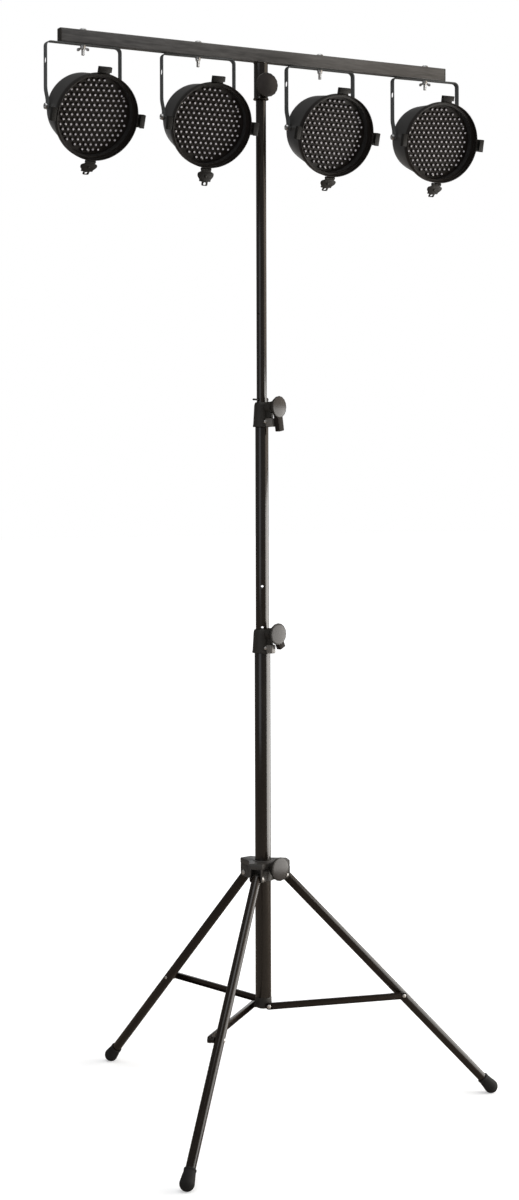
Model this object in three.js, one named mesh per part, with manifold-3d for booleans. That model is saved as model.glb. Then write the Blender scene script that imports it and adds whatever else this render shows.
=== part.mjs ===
// A T bar lighting stand: a folding tripod, a three-stage telescopic mast and a cross bar
// that carries four LED par cans. Millimetres, +Z up. The bar lies along X, the cans face -Y,
// and the origin is on the floor, in the middle of the stand's outline seen from above.
import * as THREE from "three";
import { mergeVertices } from "three/addons/utils/BufferGeometryUtils.js";
import Module from "manifold-3d";

const wasm = await Module();
wasm.setup();

// Clearances
const gap = 0.3;
const overrun = 3;
const weldDistance = 1e-4;

// Facets round a full circle
const tubeFacets = 16;
const canFacets = 20;
const ringFacets = 24;
const knobFacets = 14;
const bootFacets = 12;
const pinFacets = 8;
const boreFacets = 6;

// Mast: each stage slides in the one below it
const tubeWall = 1.5;
const lowerTubeRadius = 18.5;
const middleTubeRadius = 15.5;
const topTubeRadius = 12;
const middleTubeHidden = 170;
const topTubeHidden = 350;
const pinHoleRadius = 3;
const pinHolePitch = 100;
const topHoleCount = 2;
const topHoleAzimuth = THREE.MathUtils.degToRad(203);
const middleHoleAzimuth = THREE.MathUtils.degToRad(242);

// Clamp collars on the two lower stages
const collarHeight = 58;
const collarSocket = 36;
const collarWall = 2.6;
const collarTaper = 3.4;
const collarShoulder = 5;
const lowerCollarFoot = 1073;
const upperCollarFoot = 1602;
const bossRadius = 12;
const bossHeight = 46;
const bossReach = 34;
const earWidth = 9;
const earReach = 37;
const earHeight = 26;
const rivetRadius = 3.2;
const rivetHead = 1.4;
const collarRivetRise = 12;
const collarRivetTurn = THREE.MathUtils.degToRad(-25);
const lowerKnobAzimuth = THREE.MathUtils.degToRad(287);
const upperKnobAzimuth = THREE.MathUtils.degToRad(293);

// Clamp knobs
const stemRadius = 4;
const knobRadius = 25.5;
const knobBackRadius = 17;
const knobDepth = 17;
const knobEdge = 2.5;
const hubKnobDepth = 21;
const sleeveKnobRadius = 28.5;
const tailWidth = 13;
const tailThickness = 10;
const lowerTail = 36;
const upperTail = 57;
const lowerTailTurn = THREE.MathUtils.degToRad(28);
const upperTailTurn = THREE.MathUtils.degToRad(10);

// Safety pin over the upper collar
const safetyPinRadius = 2.5;
const safetyPinTip = 33;
const safetyPinHead = 24;
const safetyPinHeadRadius = 5.5;
const safetyPinLift = 6;

// Tripod hub
const hubBottom = 541;
const hubHeight = 36;
const hubSleeveWall = 6;
const legPivotRadius = 52;
const legPivotRise = 12;
const cheekThickness = 3.2;
const cheekReach = 9.5;
const hubDeck = 3.2;
const hubBossRadius = 10;
const hubBossRise = 28;
const hubBossReach = 40;
const hubKnobAzimuth = THREE.MathUtils.degToRad(286);
const legPinRadius = 3.5;
const legPinHeadRadius = 5.5;
const legPinHead = 2;

// Legs and boots
const legAzimuths = [-14.5, 105.5, 225.5].map(THREE.MathUtils.degToRad);
const legRadius = 11;
const legWall = 1.5;
const legPlay = 0.8;
const footRadius = 563;
const bootRadius = 16.5;
const bootNeck = 13;
const bootLip = 13.8;
const bootSleeve = 20;
const bootLipHeight = 5;
const footFlat = 0.8;

// Struts between the legs and the foot of the mast
const strutHeight = 15;
const strutWidth = 7.5;
const strutSheet = 1.6;
const strutSolidEnd = 13;
const strutOffset = 19.5;
const strutPivotRise = 12;
const strutPivotRadius = 7;
const strutReach = 337;
const strutBossRadius = 7;

// Cap at the foot of the mast
const capRadius = 19.2;
const capBottom = 237;
const capHeight = 30;
const capEdge = 4;
const capPlug = 24;
const capPinRadius = 3;
const capPinHeadRadius = 4.6;

// Cross bar and the sleeve welded under it
const barLength = 1013;
const barHeight = 31;
const barDepth = 20;
const barWall = 2;
const barUnderside = 2456;
const barCapLip = 2.5;
const barCapPlug = 14;
const sleeveRadius = 16.5;
const sleeveLength = 87;
const sleeveLipRadius = 18.2;
const sleeveLipHeight = 5;
const sleeveKnobDrop = 56;
const sleeveBossRadius = 9;
const sleeveBossReach = 18;
const sleeveKnobDepth = 16;

// Lamps along the bar, as shares of its half length, and how each of them sits
const lampPlaceShares = [-0.891, -0.324, 0.314, 0.898];
const lampPans = [0.6, -2.9, 0, -2.7].map(THREE.MathUtils.degToRad);
const lampTilts = [20.8, 18.3, 17.3, 13.8].map(THREE.MathUtils.degToRad);
const wingTurns = [-28, 62, 62, -28].map(THREE.MathUtils.degToRad);
const boardTurns = [3, 0, 0, 3.2].map(THREE.MathUtils.degToRad);

// Hanging bolt and wing nut
const boltRadius = 4;
const boltHeadRadius = 8.5;
const boltHeadHeight = 4.5;
const boltEnd = 25;
const nutRadius = 6;
const nutHeight = 8;
const wingSpan = 14;
const wingDrop = 12.5;
const wingThickness = 2.4;
const wingRootShares = [0.35, 0.25];
const wingTipShares = [0.5, 0.62];

// Yoke
const yokeWidth = 16;
const yokeSheet = 2.5;
const yokeHalf = 92;
const yokeBend = 12;
const pivotDrop = 146;
const yokeNeckHalf = 87.5;
const yokeNeckTop = 38;
const yokeNeckBottom = 16;
const slotDrop = 44;
const slotWidth = 9.5;
const slotLength = 14;

// Can, seen from its tilt axis: distances run forward along the beam
const canSheet = 1.2;
const canFrontRadius = 93.2;
const canBackRadius = 78.4;
const canRearRadius = 60;
const canFront = 72;
const canBack = -26;
const canRear = -42;
const tiltScrewRadius = 3;
const tiltHeadRadius = 7;
const tiltHeadDepth = 6;
const glandRadius = 8;
const glandLength = 12;
const glandDrop = 34;

// Front ring with its filter clips and latch
const ringRadius = 97;
const ringBore = 89;
const ringDepth = 16;
const ringSheet = 2.2;
const ringFloor = 3;
const clipAzimuths = [0, 90, 180].map(THREE.MathUtils.degToRad);
const clipWidth = 29.5;
const clipReach = 15.5;
const clipForward = 5;
const clipDepth = 11;
const clipSheet = 2;
const clipLip = 12;
const latchNeck = 12.3;
const latchWing = 20;
const latchWaist = 14;
const latchTip = 7.5;
const latchLeans = [31, 0, 31, 33].map(THREE.MathUtils.degToRad);
const latchLength = 38;
const latchSheet = 2.4;
const latchKnuckle = 3.4;
const latchEyeRadius = 2.6;
const latchRivetRadius = 3.5;
const latchRivetHeight = 1.6;
const latchNeckShare = 0.13;
const latchShoulderShare = 0.22;
const latchWingShare = 0.42;
const latchWaistShare = 0.62;
const latchStepShare = 0.74;
const latchEyeShare = 0.87;

// LED board
const boardFace = 56;
const ledPitch = 12.8;
const ledHeight = 6.5;
const ledRowCounts = [4, 7, 10, 11, 12, 13, 12, 13, 12, 13, 12, 11, 10, 7, 4];
const boardRadius = 89;
const boardThickness = 1.6;

// Power supply inside the can
const supplyWidth = 96;
const supplyHeight = 60;
const supplyBoard = 1.8;
const supplyStandoff = 6;
const supplyPostRadius = 4;
const supplyPostShare = 0.38;
const transformerWidth = 42;
const transformerHeight = 36;
const transformerDepth = 30;

// Worked out from the sizes above
const lowerTubeTop = lowerCollarFoot + collarSocket - gap;
const middleTubeBottom = lowerCollarFoot - middleTubeHidden;
const middleTubeTop = upperCollarFoot + collarSocket - gap;
const topTubeBottom = upperCollarFoot - topTubeHidden;
const topTubeTop = barUnderside - gap;
const safetyPinHeight = upperCollarFoot + collarHeight + safetyPinLift;
const hubTop = hubBottom + hubHeight;
const hubBossHeight = hubBottom + hubBossRise;
const legPivotHeight = hubBottom + legPivotRise;
const capTop = capBottom + capHeight;
const strutPivotHeight = capBottom + strutPivotRise;
const slotHalf = legRadius + legPlay;
const ballHeight = bootRadius - footFlat;
const legRun = footRadius - legPivotRadius;
const legDrop = legPivotHeight - ballHeight;
const legAngle = Math.atan2(legRun, legDrop);
const legLength = Math.hypot(legRun, legDrop);
const legTubeEnd = legLength - bootRadius + bootSleeve / 4;
const strutOnLeg = ((strutReach - legPivotRadius) / legRun) * legLength;
const strutEndHeight = legPivotHeight - ((strutReach - legPivotRadius) / legRun) * legDrop;
const strutRun = strutReach - strutPivotRadius;
const strutRise = strutEndHeight - strutPivotHeight;
const strutLength = Math.hypot(strutRun, strutRise);
const strutAngle = Math.atan2(strutRise, strutRun);
const yokeTop = -gap;
const barTop = barUnderside + barHeight;
const canPivotRadius = canBackRadius + ((canFrontRadius - canBackRadius) * -canBack) / (canFront - canBack);
const lampPlaces = lampPlaceShares.map((share) => (share * barLength) / 2);

// Finishes
const blackSteel = { color: 0x2a2826, roughness: 0.42, metalness: 0.35 };
const grayBlackSteel = { color: 0x3d3b39, roughness: 0.5, metalness: 0.35 };
const blackPlastic = { color: 0x201f1e, roughness: 0.5, metalness: 0 };
const knobPlastic = { color: 0x4a4745, roughness: 0.55, metalness: 0 };
const zinc = { color: 0xb9bcc0, roughness: 0.32, metalness: 0.9 };
const rubber = { color: 0x1c1b1b, roughness: 0.8, metalness: 0 };
const ledLens = { color: 0xc9c3bd, roughness: 0.25, metalness: 0 };
const circuitGreen = { color: 0x2f5a3c, roughness: 0.6, metalness: 0 };

// A closed geometry as a solid that can be joined and cut.
function solidOf(shape) {
  if (!shape.isBufferGeometry) return shape;
  const bare = shape.clone();
  bare.deleteAttribute("normal");
  bare.deleteAttribute("uv");
  const merged = mergeVertices(bare, weldDistance);
  const corners = merged.index.array;
  const triVerts = [];
  for (let i = 0; i < corners.length; i += 3) {
    const [a, b, c] = corners.slice(i, i + 3);
    if (a !== b && b !== c && c !== a) triVerts.push(a, b, c);
  }
  return new wasm.Manifold(
    new wasm.Mesh({
      numProp: 3,
      vertProperties: new Float32Array(merged.attributes.position.array),
      triVerts: new Uint32Array(triVerts),
    }),
  );
}

function join(...shapes) {
  return shapes.map(solidOf).reduce((whole, piece) => whole.add(piece));
}

function cut(shape, ...tools) {
  return tools.map(solidOf).reduce((whole, tool) => whole.subtract(tool), solidOf(shape));
}

function geometryOf(shape) {
  const made = solidOf(shape).getMesh();
  const geometry = new THREE.BufferGeometry();
  geometry.setAttribute("position", new THREE.BufferAttribute(made.vertProperties, made.numProp));
  geometry.setIndex(new THREE.BufferAttribute(made.triVerts, 1));
  const faceted = geometry.toNonIndexed();
  faceted.computeVertexNormals();
  return faceted;
}

// A body of revolution round Z. The profile holds [radius, height] pairs, anticlockwise.
function revolve(profile, facets) {
  const points = profile.map(([radius, height]) => new THREE.Vector2(radius, height));
  const [first, last] = [points[0], points[points.length - 1]];
  if (first.x !== 0 || last.x !== 0) points.push(first.clone());
  return new THREE.LatheGeometry(points, facets).rotateX(Math.PI / 2);
}

// The radius of a faceted bore whose flats leave the gap round a shaft.
function boreRadius(shaft, facets = boreFacets) {
  return (shaft + gap) / Math.cos(Math.PI / facets);
}

function tube(radius, bottom, top) {
  const bore = radius - tubeWall;
  return revolve([[bore, bottom], [radius, bottom], [radius, top], [bore, top]], tubeFacets);
}

// Round bars along X, Y and Z.
function barX(radius, from, to, facets = pinFacets) {
  const bar = new THREE.CylinderGeometry(radius, radius, to - from, facets);
  return bar.rotateZ(-Math.PI / 2).translate((from + to) / 2, 0, 0);
}

function barY(radius, from, to, facets = pinFacets) {
  return new THREE.CylinderGeometry(radius, radius, to - from, facets).translate(0, (from + to) / 2, 0);
}

function barZ(radius, from, to, facets = pinFacets) {
  const bar = new THREE.CylinderGeometry(radius, radius, to - from, facets);
  return bar.rotateX(Math.PI / 2).translate(0, 0, (from + to) / 2);
}

// Bores that clear a shaft, along X, Y and Z.
function boreX(shaft, from, to, facets = boreFacets) {
  return barX(boreRadius(shaft, facets), from, to, facets);
}

function boreY(shaft, from, to, facets = boreFacets) {
  return barY(boreRadius(shaft, facets), from, to, facets);
}

function boreZ(shaft, from, to, facets = boreFacets) {
  return barZ(boreRadius(shaft, facets), from, to, facets);
}

function block([x0, x1], [y0, y1], [z0, z1]) {
  const box = new THREE.BoxGeometry(x1 - x0, y1 - y0, z1 - z0);
  return box.translate((x0 + x1) / 2, (y0 + y1) / 2, (z0 + z1) / 2);
}

function outline(points) {
  return new THREE.Shape(points.map(([x, y]) => new THREE.Vector2(x, y)));
}

// An outline in the XZ plane, thickened along Y.
function plateXZ(shape, from, to, curveSegments = pinFacets / 2) {
  const settings = { depth: to - from, bevelEnabled: false, curveSegments };
  return new THREE.ExtrudeGeometry(shape, settings).rotateX(Math.PI / 2).translate(0, to, 0);
}

// An outline in the XY plane, thickened along Z.
function plateXY(shape, from, to, curveSegments = pinFacets / 2) {
  const settings = { depth: to - from, bevelEnabled: false, curveSegments };
  return new THREE.ExtrudeGeometry(shape, settings).translate(0, 0, from);
}

// A bar with half-round ends, from x = 0 to x = length.
function stadium(length, halfHeight, inset = 0) {
  const shape = new THREE.Shape();
  shape.absarc(inset, 0, halfHeight, Math.PI / 2, (3 * Math.PI) / 2, false);
  shape.absarc(length - inset, 0, halfHeight, -Math.PI / 2, Math.PI / 2, false);
  return shape;
}

function named(name, finish, shape) {
  const mesh = new THREE.Mesh(geometryOf(shape), new THREE.MeshStandardMaterial(finish));
  mesh.name = name;
  return mesh;
}

function group(parent, { at = [0, 0, 0], turn = [0, 0, 0] } = {}) {
  const made = new THREE.Group();
  made.position.set(...at);
  made.rotation.set(...turn);
  parent.add(made);
  return made;
}

// Three mast tubes, bored for the locking pins.
function addMast(stand) {
  const lower = tube(lowerTubeRadius, capTop, lowerTubeTop);
  const middle = cut(
    tube(middleTubeRadius, middleTubeBottom, middleTubeTop),
    ...[0, 1].map((step) =>
      barX(pinHoleRadius, -middleTubeRadius - overrun, middleTubeRadius + overrun, boreFacets)
        .rotateZ(middleHoleAzimuth)
        .translate(0, 0, lowerCollarFoot + collarHeight + safetyPinLift + step * pinHolePitch),
    ),
  );
  const top = cut(
    tube(topTubeRadius, topTubeBottom, topTubeTop),
    ...Array.from({ length: topHoleCount + 1 }, (_, step) =>
      barX(pinHoleRadius, -topTubeRadius - overrun, topTubeRadius + overrun, boreFacets)
        .rotateZ(topHoleAzimuth)
        .translate(0, 0, safetyPinHeight + step * pinHolePitch),
    ),
  );
  stand.add(named("mast_lower_tube", blackSteel, lower));
  stand.add(named("mast_middle_tube", blackSteel, middle));
  stand.add(named("mast_top_tube", blackSteel, top));
}

// A tapered collar over the outer tube, with a knob boss and a gusset under the boss.
function clampCollar(outerTube, innerTube, knobAzimuth) {
  const throat = boreRadius(innerTube, tubeFacets);
  const foot = outerTube + gap + collarWall;
  const crown = Math.max(foot - collarTaper, throat + tubeWall);
  const body = revolve(
    [
      [0, 0],
      [foot, 0],
      [crown, collarHeight - collarShoulder],
      [(crown + throat) / 2, collarHeight],
      [0, collarHeight],
    ],
    tubeFacets,
  );
  const ear = outline([
    [0, 0],
    [earReach, 0],
    [bossReach - gap, earHeight],
    [0, earHeight],
  ]);
  const rivet = barX(rivetRadius, innerTube, foot + rivetHead).rotateZ(collarRivetTurn);
  const turned = cut(
    join(
      body,
      barX(bossRadius, 0, bossReach, knobFacets).translate(0, 0, bossHeight),
      plateXZ(ear, -earWidth / 2, earWidth / 2),
      rivet.translate(0, 0, collarRivetRise),
    ),
    boreZ(outerTube, -overrun, collarSocket, tubeFacets),
    boreZ(innerTube, 0, collarHeight + bossRadius, tubeFacets),
    boreX(stemRadius, 0, bossReach + overrun).translate(0, 0, bossHeight),
  );
  return geometryOf(turned).rotateZ(knobAzimuth);
}

// A mushroom knob on a threaded stem, pointing along X. Its back face is at back.
function clampKnob(stemTip, back, depth, radius) {
  const backRadius = (knobBackRadius / knobRadius) * radius;
  const face = back + depth;
  return revolve(
    [
      [0, stemTip],
      [stemRadius, stemTip],
      [stemRadius, back],
      [backRadius, back],
      [radius, face - 2 * knobEdge],
      [radius, face - knobEdge],
      [radius - knobEdge, face],
      [0, face],
    ],
    knobFacets,
  ).rotateY(Math.PI / 2);
}

// The flat tail that gives the thumb its hold on a collar's knob.
function knobTail(back, length, turn) {
  const start = back + knobDepth / 4;
  const width = [-tailWidth / 2, tailWidth / 2];
  return block([start, start + tailThickness], width, [-length, 0]).rotateX(turn);
}

function addCollars(stand) {
  const places = [
    ["lower", lowerCollarFoot, lowerTubeRadius, middleTubeRadius, lowerKnobAzimuth, lowerTail, lowerTailTurn],
    ["upper", upperCollarFoot, middleTubeRadius, topTubeRadius, upperKnobAzimuth, upperTail, upperTailTurn],
  ];
  for (const [label, foot, outer, inner, azimuth, tail, tailTurn] of places) {
    const collar = group(stand, { at: [0, 0, foot] });
    collar.add(named(label + "_collar", blackPlastic, clampCollar(outer, inner, azimuth)));
    const back = earReach + gap;
    const knob = join(clampKnob(inner + gap, back, knobDepth, knobRadius), knobTail(back, tail, tailTurn));
    const seat = group(stand, { at: [0, 0, foot + bossHeight], turn: [0, 0, azimuth] });
    seat.add(named(label + "_collar_knob", knobPlastic, knob));
  }
}

function addSafetyPin(stand) {
  const pin = group(stand, { at: [0, 0, safetyPinHeight], turn: [0, 0, topHoleAzimuth + Math.PI] });
  const shank = barX(safetyPinRadius, -safetyPinTip, safetyPinHead);
  const head = barX(safetyPinHeadRadius, topTubeRadius + gap, safetyPinHead + rivetHead, knobFacets);
  pin.add(named("safety_pin", blackPlastic, join(shank, head)));
}

// One pair of cheeks on the hub, along X, with the slot that the leg swings in.
function hubArm() {
  const half = slotHalf + cheekThickness;
  const shape = new THREE.Shape();
  shape.moveTo(0, hubBottom);
  shape.lineTo(legPivotRadius, legPivotHeight - cheekReach);
  shape.absarc(legPivotRadius, legPivotHeight, cheekReach, -Math.PI / 2, 0, false);
  shape.lineTo(legPivotRadius + cheekReach, hubTop - hubDeck);
  shape.lineTo(legPivotRadius + cheekReach - hubDeck, hubTop);
  shape.lineTo(0, hubTop);
  const slotStart = legPivotRadius - legRadius - 2 * legPlay;
  const slot = block(
    [slotStart, legPivotRadius + cheekReach + overrun],
    [-slotHalf, slotHalf],
    [hubBottom - overrun, hubTop - hubDeck],
  );
  const pinHole = boreY(legPinRadius, -half - overrun, half + overrun);
  return cut(plateXZ(shape, -half, half), slot, pinHole.translate(legPivotRadius, 0, legPivotHeight));
}

function addHub(stand) {
  const sleeve = barZ(lowerTubeRadius + hubSleeveWall, hubBottom, hubTop, tubeFacets);
  const arms = legAzimuths.map((azimuth) => geometryOf(hubArm()).rotateZ(azimuth));
  const boss = barX(hubBossRadius, 0, hubBossReach, knobFacets);
  const stemHole = boreX(stemRadius, 0, hubBossReach + overrun);
  const hub = cut(
    join(sleeve, ...arms, boss.translate(0, 0, hubBossHeight).rotateZ(hubKnobAzimuth)),
    boreZ(lowerTubeRadius, hubBottom - overrun, hubTop + hubBossRadius, tubeFacets),
    stemHole.translate(0, 0, hubBossHeight).rotateZ(hubKnobAzimuth),
  );
  stand.add(named("leg_hub", blackSteel, hub));
  const seat = group(stand, { at: [0, 0, hubBossHeight], turn: [0, 0, hubKnobAzimuth] });
  const knob = clampKnob(lowerTubeRadius + gap, hubBossReach + gap, hubKnobDepth, knobRadius);
  seat.add(named("hub_knob", knobPlastic, knob));
}

// A leg tube hanging from its pivot along -Z, with a domed plug at the top.
function legTube() {
  const bore = legRadius - legWall;
  const domeShare = Math.SQRT1_2;
  const body = revolve(
    [
      [0, -legRadius],
      [bore, -legRadius],
      [bore, -legTubeEnd],
      [legRadius, -legTubeEnd],
      [legRadius, 0],
      [legRadius * domeShare, legRadius * domeShare],
      [0, legRadius],
    ],
    tubeFacets,
  );
  const rivet = barY(rivetRadius, bore, legRadius + rivetHead).translate(0, 0, -strutOnLeg);
  const pinHole = boreY(legPinRadius, -legRadius - overrun, legRadius + overrun);
  return cut(join(body, rivet), pinHole);
}

// A rubber boot pushed over the leg's end, worn flat where it meets the floor.
function boot() {
  const socket = boreRadius(legRadius, bootFacets);
  const mouth = legTubeEnd - bootSleeve;
  const ball = [30, 60].map((angle) => THREE.MathUtils.degToRad(angle));
  const body = revolve(
    [
      [0, -legLength - bootRadius],
      ...ball.map((angle) => [bootRadius * Math.sin(angle), -legLength - bootRadius * Math.cos(angle)]),
      [bootRadius, -legLength],
      [bootNeck, -mouth - bootLipHeight],
      [bootLip, -mouth],
      [socket, -mouth],
      [socket, -legTubeEnd - gap],
      [0, -legTubeEnd - gap],
    ],
    bootFacets,
  );
  const floor = block(
    [-bootRadius, bootRadius],
    [-bootRadius, bootRadius],
    [-ballHeight - bootRadius, -ballHeight],
  );
  return cut(body, floor.rotateY(legAngle).translate(0, 0, -legLength));
}

// A pressed channel beside the leg. X runs from its pivot on the mast to its pivot on the leg.
function strut() {
  const half = strutHeight / 2;
  const outer = -strutOffset - strutWidth;
  const channel = plateXZ(stadium(strutLength, half), outer, -strutOffset);
  const pocket = stadium(strutLength, half - strutSheet, strutSolidEnd);
  const hollow = plateXZ(pocket, outer + strutSheet, -strutOffset + overrun, 2);
  const boss = barY(strutBossRadius, -strutOffset - strutSheet, -legRadius - gap);
  const head = barY(rivetRadius, outer - rivetHead, outer + strutSheet);
  const pinHole = boreY(capPinRadius, outer - overrun, -strutOffset + overrun);
  const body = join(cut(channel, hollow, pinHole), boss.translate(strutLength, 0, 0));
  return join(body, head.translate(strutLength, 0, 0));
}

function addLegs(stand) {
  const half = slotHalf + cheekThickness;
  const pin = join(
    barY(legPinRadius, -half - legPinHead, half + legPinHead),
    barY(legPinHeadRadius, -half - legPinHead - gap, -half - gap),
    barY(legPinHeadRadius, half + gap, half + legPinHead + gap),
  );
  legAzimuths.forEach((azimuth, index) => {
    const side = group(stand, { turn: [0, 0, azimuth] });
    const hinge = group(side, { at: [legPivotRadius, 0, legPivotHeight], turn: [0, -legAngle, 0] });
    hinge.add(named("leg_" + (index + 1), blackSteel, legTube()));
    hinge.add(named("foot_boot_" + (index + 1), rubber, boot()));
    hinge.add(named("leg_pin_" + (index + 1), zinc, pin));
    const tie = group(side, { at: [strutPivotRadius, 0, strutPivotHeight], turn: [0, -strutAngle, 0] });
    tie.add(named("strut_" + (index + 1), blackSteel, strut()));
  });
}

// The cap that closes the mast's foot and carries the three strut pins.
function addBaseCap(stand) {
  const plugRadius = lowerTubeRadius - tubeWall - gap;
  const seat = capTop - gap;
  const body = revolve(
    [
      [0, capBottom],
      [capRadius - capEdge, capBottom],
      [capRadius, capBottom + capEdge],
      [capRadius, seat - tubeWall],
      [lowerTubeRadius, seat],
      [plugRadius, seat],
      [plugRadius, seat + capPlug],
      [0, seat + capPlug],
    ],
    tubeFacets,
  );
  const outer = strutOffset + strutWidth + gap;
  const pins = legAzimuths.flatMap((azimuth) =>
    [
      barY(strutBossRadius, -strutOffset + gap, 0),
      barY(capPinRadius, -outer - rivetHead / 2, 0, boreFacets),
      barY(capPinHeadRadius, -outer - rivetHead, -outer),
    ].map((piece) => piece.translate(strutPivotRadius, 0, strutPivotHeight).rotateZ(azimuth)),
  );
  stand.add(named("mast_base_cap", blackPlastic, join(body, ...pins)));
}

// A rectangular tube with a bolt hole through it over each lamp.
function crossBar() {
  const half = barDepth / 2;
  const bore = half - barWall;
  const ends = [-barLength / 2, barLength / 2];
  const insideEnds = ends.map((end) => end + Math.sign(end) * overrun);
  const shell = cut(
    block(ends, [-half, half], [barUnderside, barTop]),
    block(insideEnds, [-bore, bore], [barUnderside + barWall, barTop - barWall]),
  );
  const holes = lampPlaces.map((place) =>
    boreZ(boltRadius, barUnderside - overrun, barTop + overrun).translate(place, 0, 0),
  );
  return cut(shell, ...holes);
}

function barEndCap(side) {
  const face = barLength / 2 + gap;
  const [deep, high] = [barDepth / 2, barHeight / 2];
  const [plugDeep, plugHigh] = [deep - barWall - gap, high - barWall - gap];
  const lip = block([face, face + barCapLip], [-deep, deep], [-high, high]);
  const core = block([face - barCapPlug, face], [-plugDeep, plugDeep], [-plugHigh, plugHigh]);
  const placed = geometryOf(join(lip, core)).rotateZ(side < 0 ? Math.PI : 0);
  return placed.translate(0, 0, barUnderside + high);
}

function addCrossBar(swivel) {
  swivel.add(named("t_bar", grayBlackSteel, crossBar()));
  swivel.add(named("bar_end_cap_left", blackPlastic, barEndCap(-1)));
  swivel.add(named("bar_end_cap_right", blackPlastic, barEndCap(1)));
  const top = barUnderside - gap;
  const foot = top - sleeveLength;
  const knobHeight = top - sleeveKnobDrop;
  const sleeve = cut(
    join(
      revolve(
        [
          [0, foot],
          [sleeveLipRadius, foot],
          [sleeveLipRadius, foot + sleeveLipHeight / 2],
          [sleeveRadius, foot + sleeveLipHeight],
          [sleeveRadius, top],
          [0, top],
        ],
        tubeFacets,
      ),
      barY(sleeveBossRadius, -sleeveBossReach, 0, knobFacets).translate(0, 0, knobHeight),
    ),
    boreZ(topTubeRadius, foot - overrun, top + overrun, tubeFacets),
    boreY(stemRadius, -sleeveBossReach - overrun, 0).translate(0, 0, knobHeight),
  );
  swivel.add(named("t_sleeve", blackSteel, sleeve));
  const knob = clampKnob(topTubeRadius + gap, sleeveBossReach + gap, sleeveKnobDepth, sleeveKnobRadius);
  const seat = group(swivel, { at: [0, 0, knobHeight], turn: [0, 0, -Math.PI / 2] });
  seat.add(named("sleeve_knob", knobPlastic, knob));
}

// A carriage bolt with a domed head over the bar and its thread below the yoke.
function hangingBolt() {
  const dome = barHeight + gap;
  return revolve(
    [
      [0, -boltEnd],
      [boltRadius, -boltEnd],
      [boltRadius, dome],
      [boltHeadRadius, dome],
      [boltHeadRadius * Math.SQRT1_2, dome + boltHeadHeight * Math.SQRT1_2],
      [0, dome + boltHeadHeight],
    ],
    knobFacets / 2,
  );
}

function wingNut(turn) {
  const top = yokeTop - yokeSheet - gap;
  const wing = outline([
    [boltRadius + gap, top],
    [nutRadius, top - wingDrop * wingRootShares[0]],
    [wingSpan, top - wingDrop * wingTipShares[0]],
    [wingSpan, top - wingDrop],
    [wingSpan * wingTipShares[1], top - wingDrop],
    [boltRadius + gap, top - nutHeight],
  ]);
  const right = plateXZ(wing, -wingThickness / 2, wingThickness / 2);
  const left = right.clone().rotateZ(Math.PI);
  const hub = barZ(nutRadius, top - nutHeight, top);
  const bore = boreZ(boltRadius, top - wingDrop - overrun, top + overrun);
  return geometryOf(cut(join(hub, right, left), bore)).rotateZ(turn);
}

// A flat strip bent round the can, its arms drawn in to the tilt screws.
function yoke() {
  const innerHalf = yokeHalf - yokeSheet;
  const neckTop = yokeNeckTop - pivotDrop;
  const neckBottom = yokeNeckBottom - pivotDrop;
  const crown = yokeTop;
  const inside = crown - yokeSheet;
  const arm = [
    [yokeHalf, neckTop],
    [yokeNeckHalf, neckBottom],
    [yokeNeckHalf, -pivotDrop],
    [yokeNeckHalf - yokeSheet, -pivotDrop],
    [yokeNeckHalf - yokeSheet, neckBottom],
    [innerHalf, neckTop],
  ];
  const bend = yokeBend;
  const insideBend = yokeBend - yokeSheet;
  const corner = (centreX, radius, angle) => [
    centreX + radius * Math.cos(angle),
    crown - bend + radius * Math.sin(angle),
  ];
  const turns = [0, Math.PI / 4, Math.PI / 2];
  const right = yokeHalf - bend;
  const rightOuter = turns.map((angle) => corner(right, bend, Math.PI / 2 - angle));
  const leftOuter = turns.map((angle) => corner(-right, bend, Math.PI - angle));
  const rightInner = turns.map((angle) => corner(right, insideBend, angle));
  const leftInner = turns.map((angle) => corner(-right, insideBend, Math.PI / 2 + angle));
  const mirror = ([x, z]) => [-x, z];
  const strip = outline([
    ...leftOuter,
    ...rightOuter,
    ...arm,
    ...rightInner,
    ...leftInner,
    ...arm.map(mirror).reverse(),
  ]);
  const half = yokeWidth / 2;
  const eye = (side) => {
    const faces = [yokeNeckHalf - yokeSheet, yokeNeckHalf].map((x) => x * side).sort((a, b) => a - b);
    return barX(half, ...faces).translate(0, 0, -pivotDrop);
  };
  const slot = stadium(slotLength - slotWidth, slotWidth / 2);
  const slots = plateXY(slot, -yokeHalf - overrun, yokeHalf + overrun, 2)
    .rotateY(Math.PI / 2)
    .translate(0, 0, -slotDrop);
  return cut(
    join(plateXZ(strip, -half, half), eye(1), eye(-1)),
    slots,
    boreX(tiltScrewRadius, -yokeHalf - overrun, yokeHalf + overrun).translate(0, 0, -pivotDrop),
    boreZ(boltRadius, inside - overrun, crown + overrun),
  );
}

// The can: a shell that widens from a rounded rear to its open front.
function can() {
  const shell = revolve(
    [
      [0, canRear],
      [canRearRadius, canRear],
      [canBackRadius, canBack],
      [canFrontRadius, canFront],
      [canFrontRadius - canSheet, canFront],
      [canBackRadius - canSheet, canBack + canSheet / 2],
      [canRearRadius - canSheet, canRear + canSheet],
      [0, canRear + canSheet],
    ],
    canFacets,
  );
  const head = yokeNeckHalf + gap;
  const screws = [-1, 1].flatMap((side) => {
    const span = (from, to) => (side > 0 ? [from, to] : [-to, -from]);
    return [
      barX(tiltScrewRadius, ...span(canPivotRadius - canSheet, head + tiltHeadDepth / 2), boreFacets),
      barX(tiltHeadRadius, ...span(head, head + tiltHeadDepth), boreFacets),
    ];
  });
  const gland = barZ(glandRadius, canRear - glandLength, canRear + canSheet / 2);
  return join(shell, ...screws, gland.translate(0, -glandDrop, 0));
}

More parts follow.
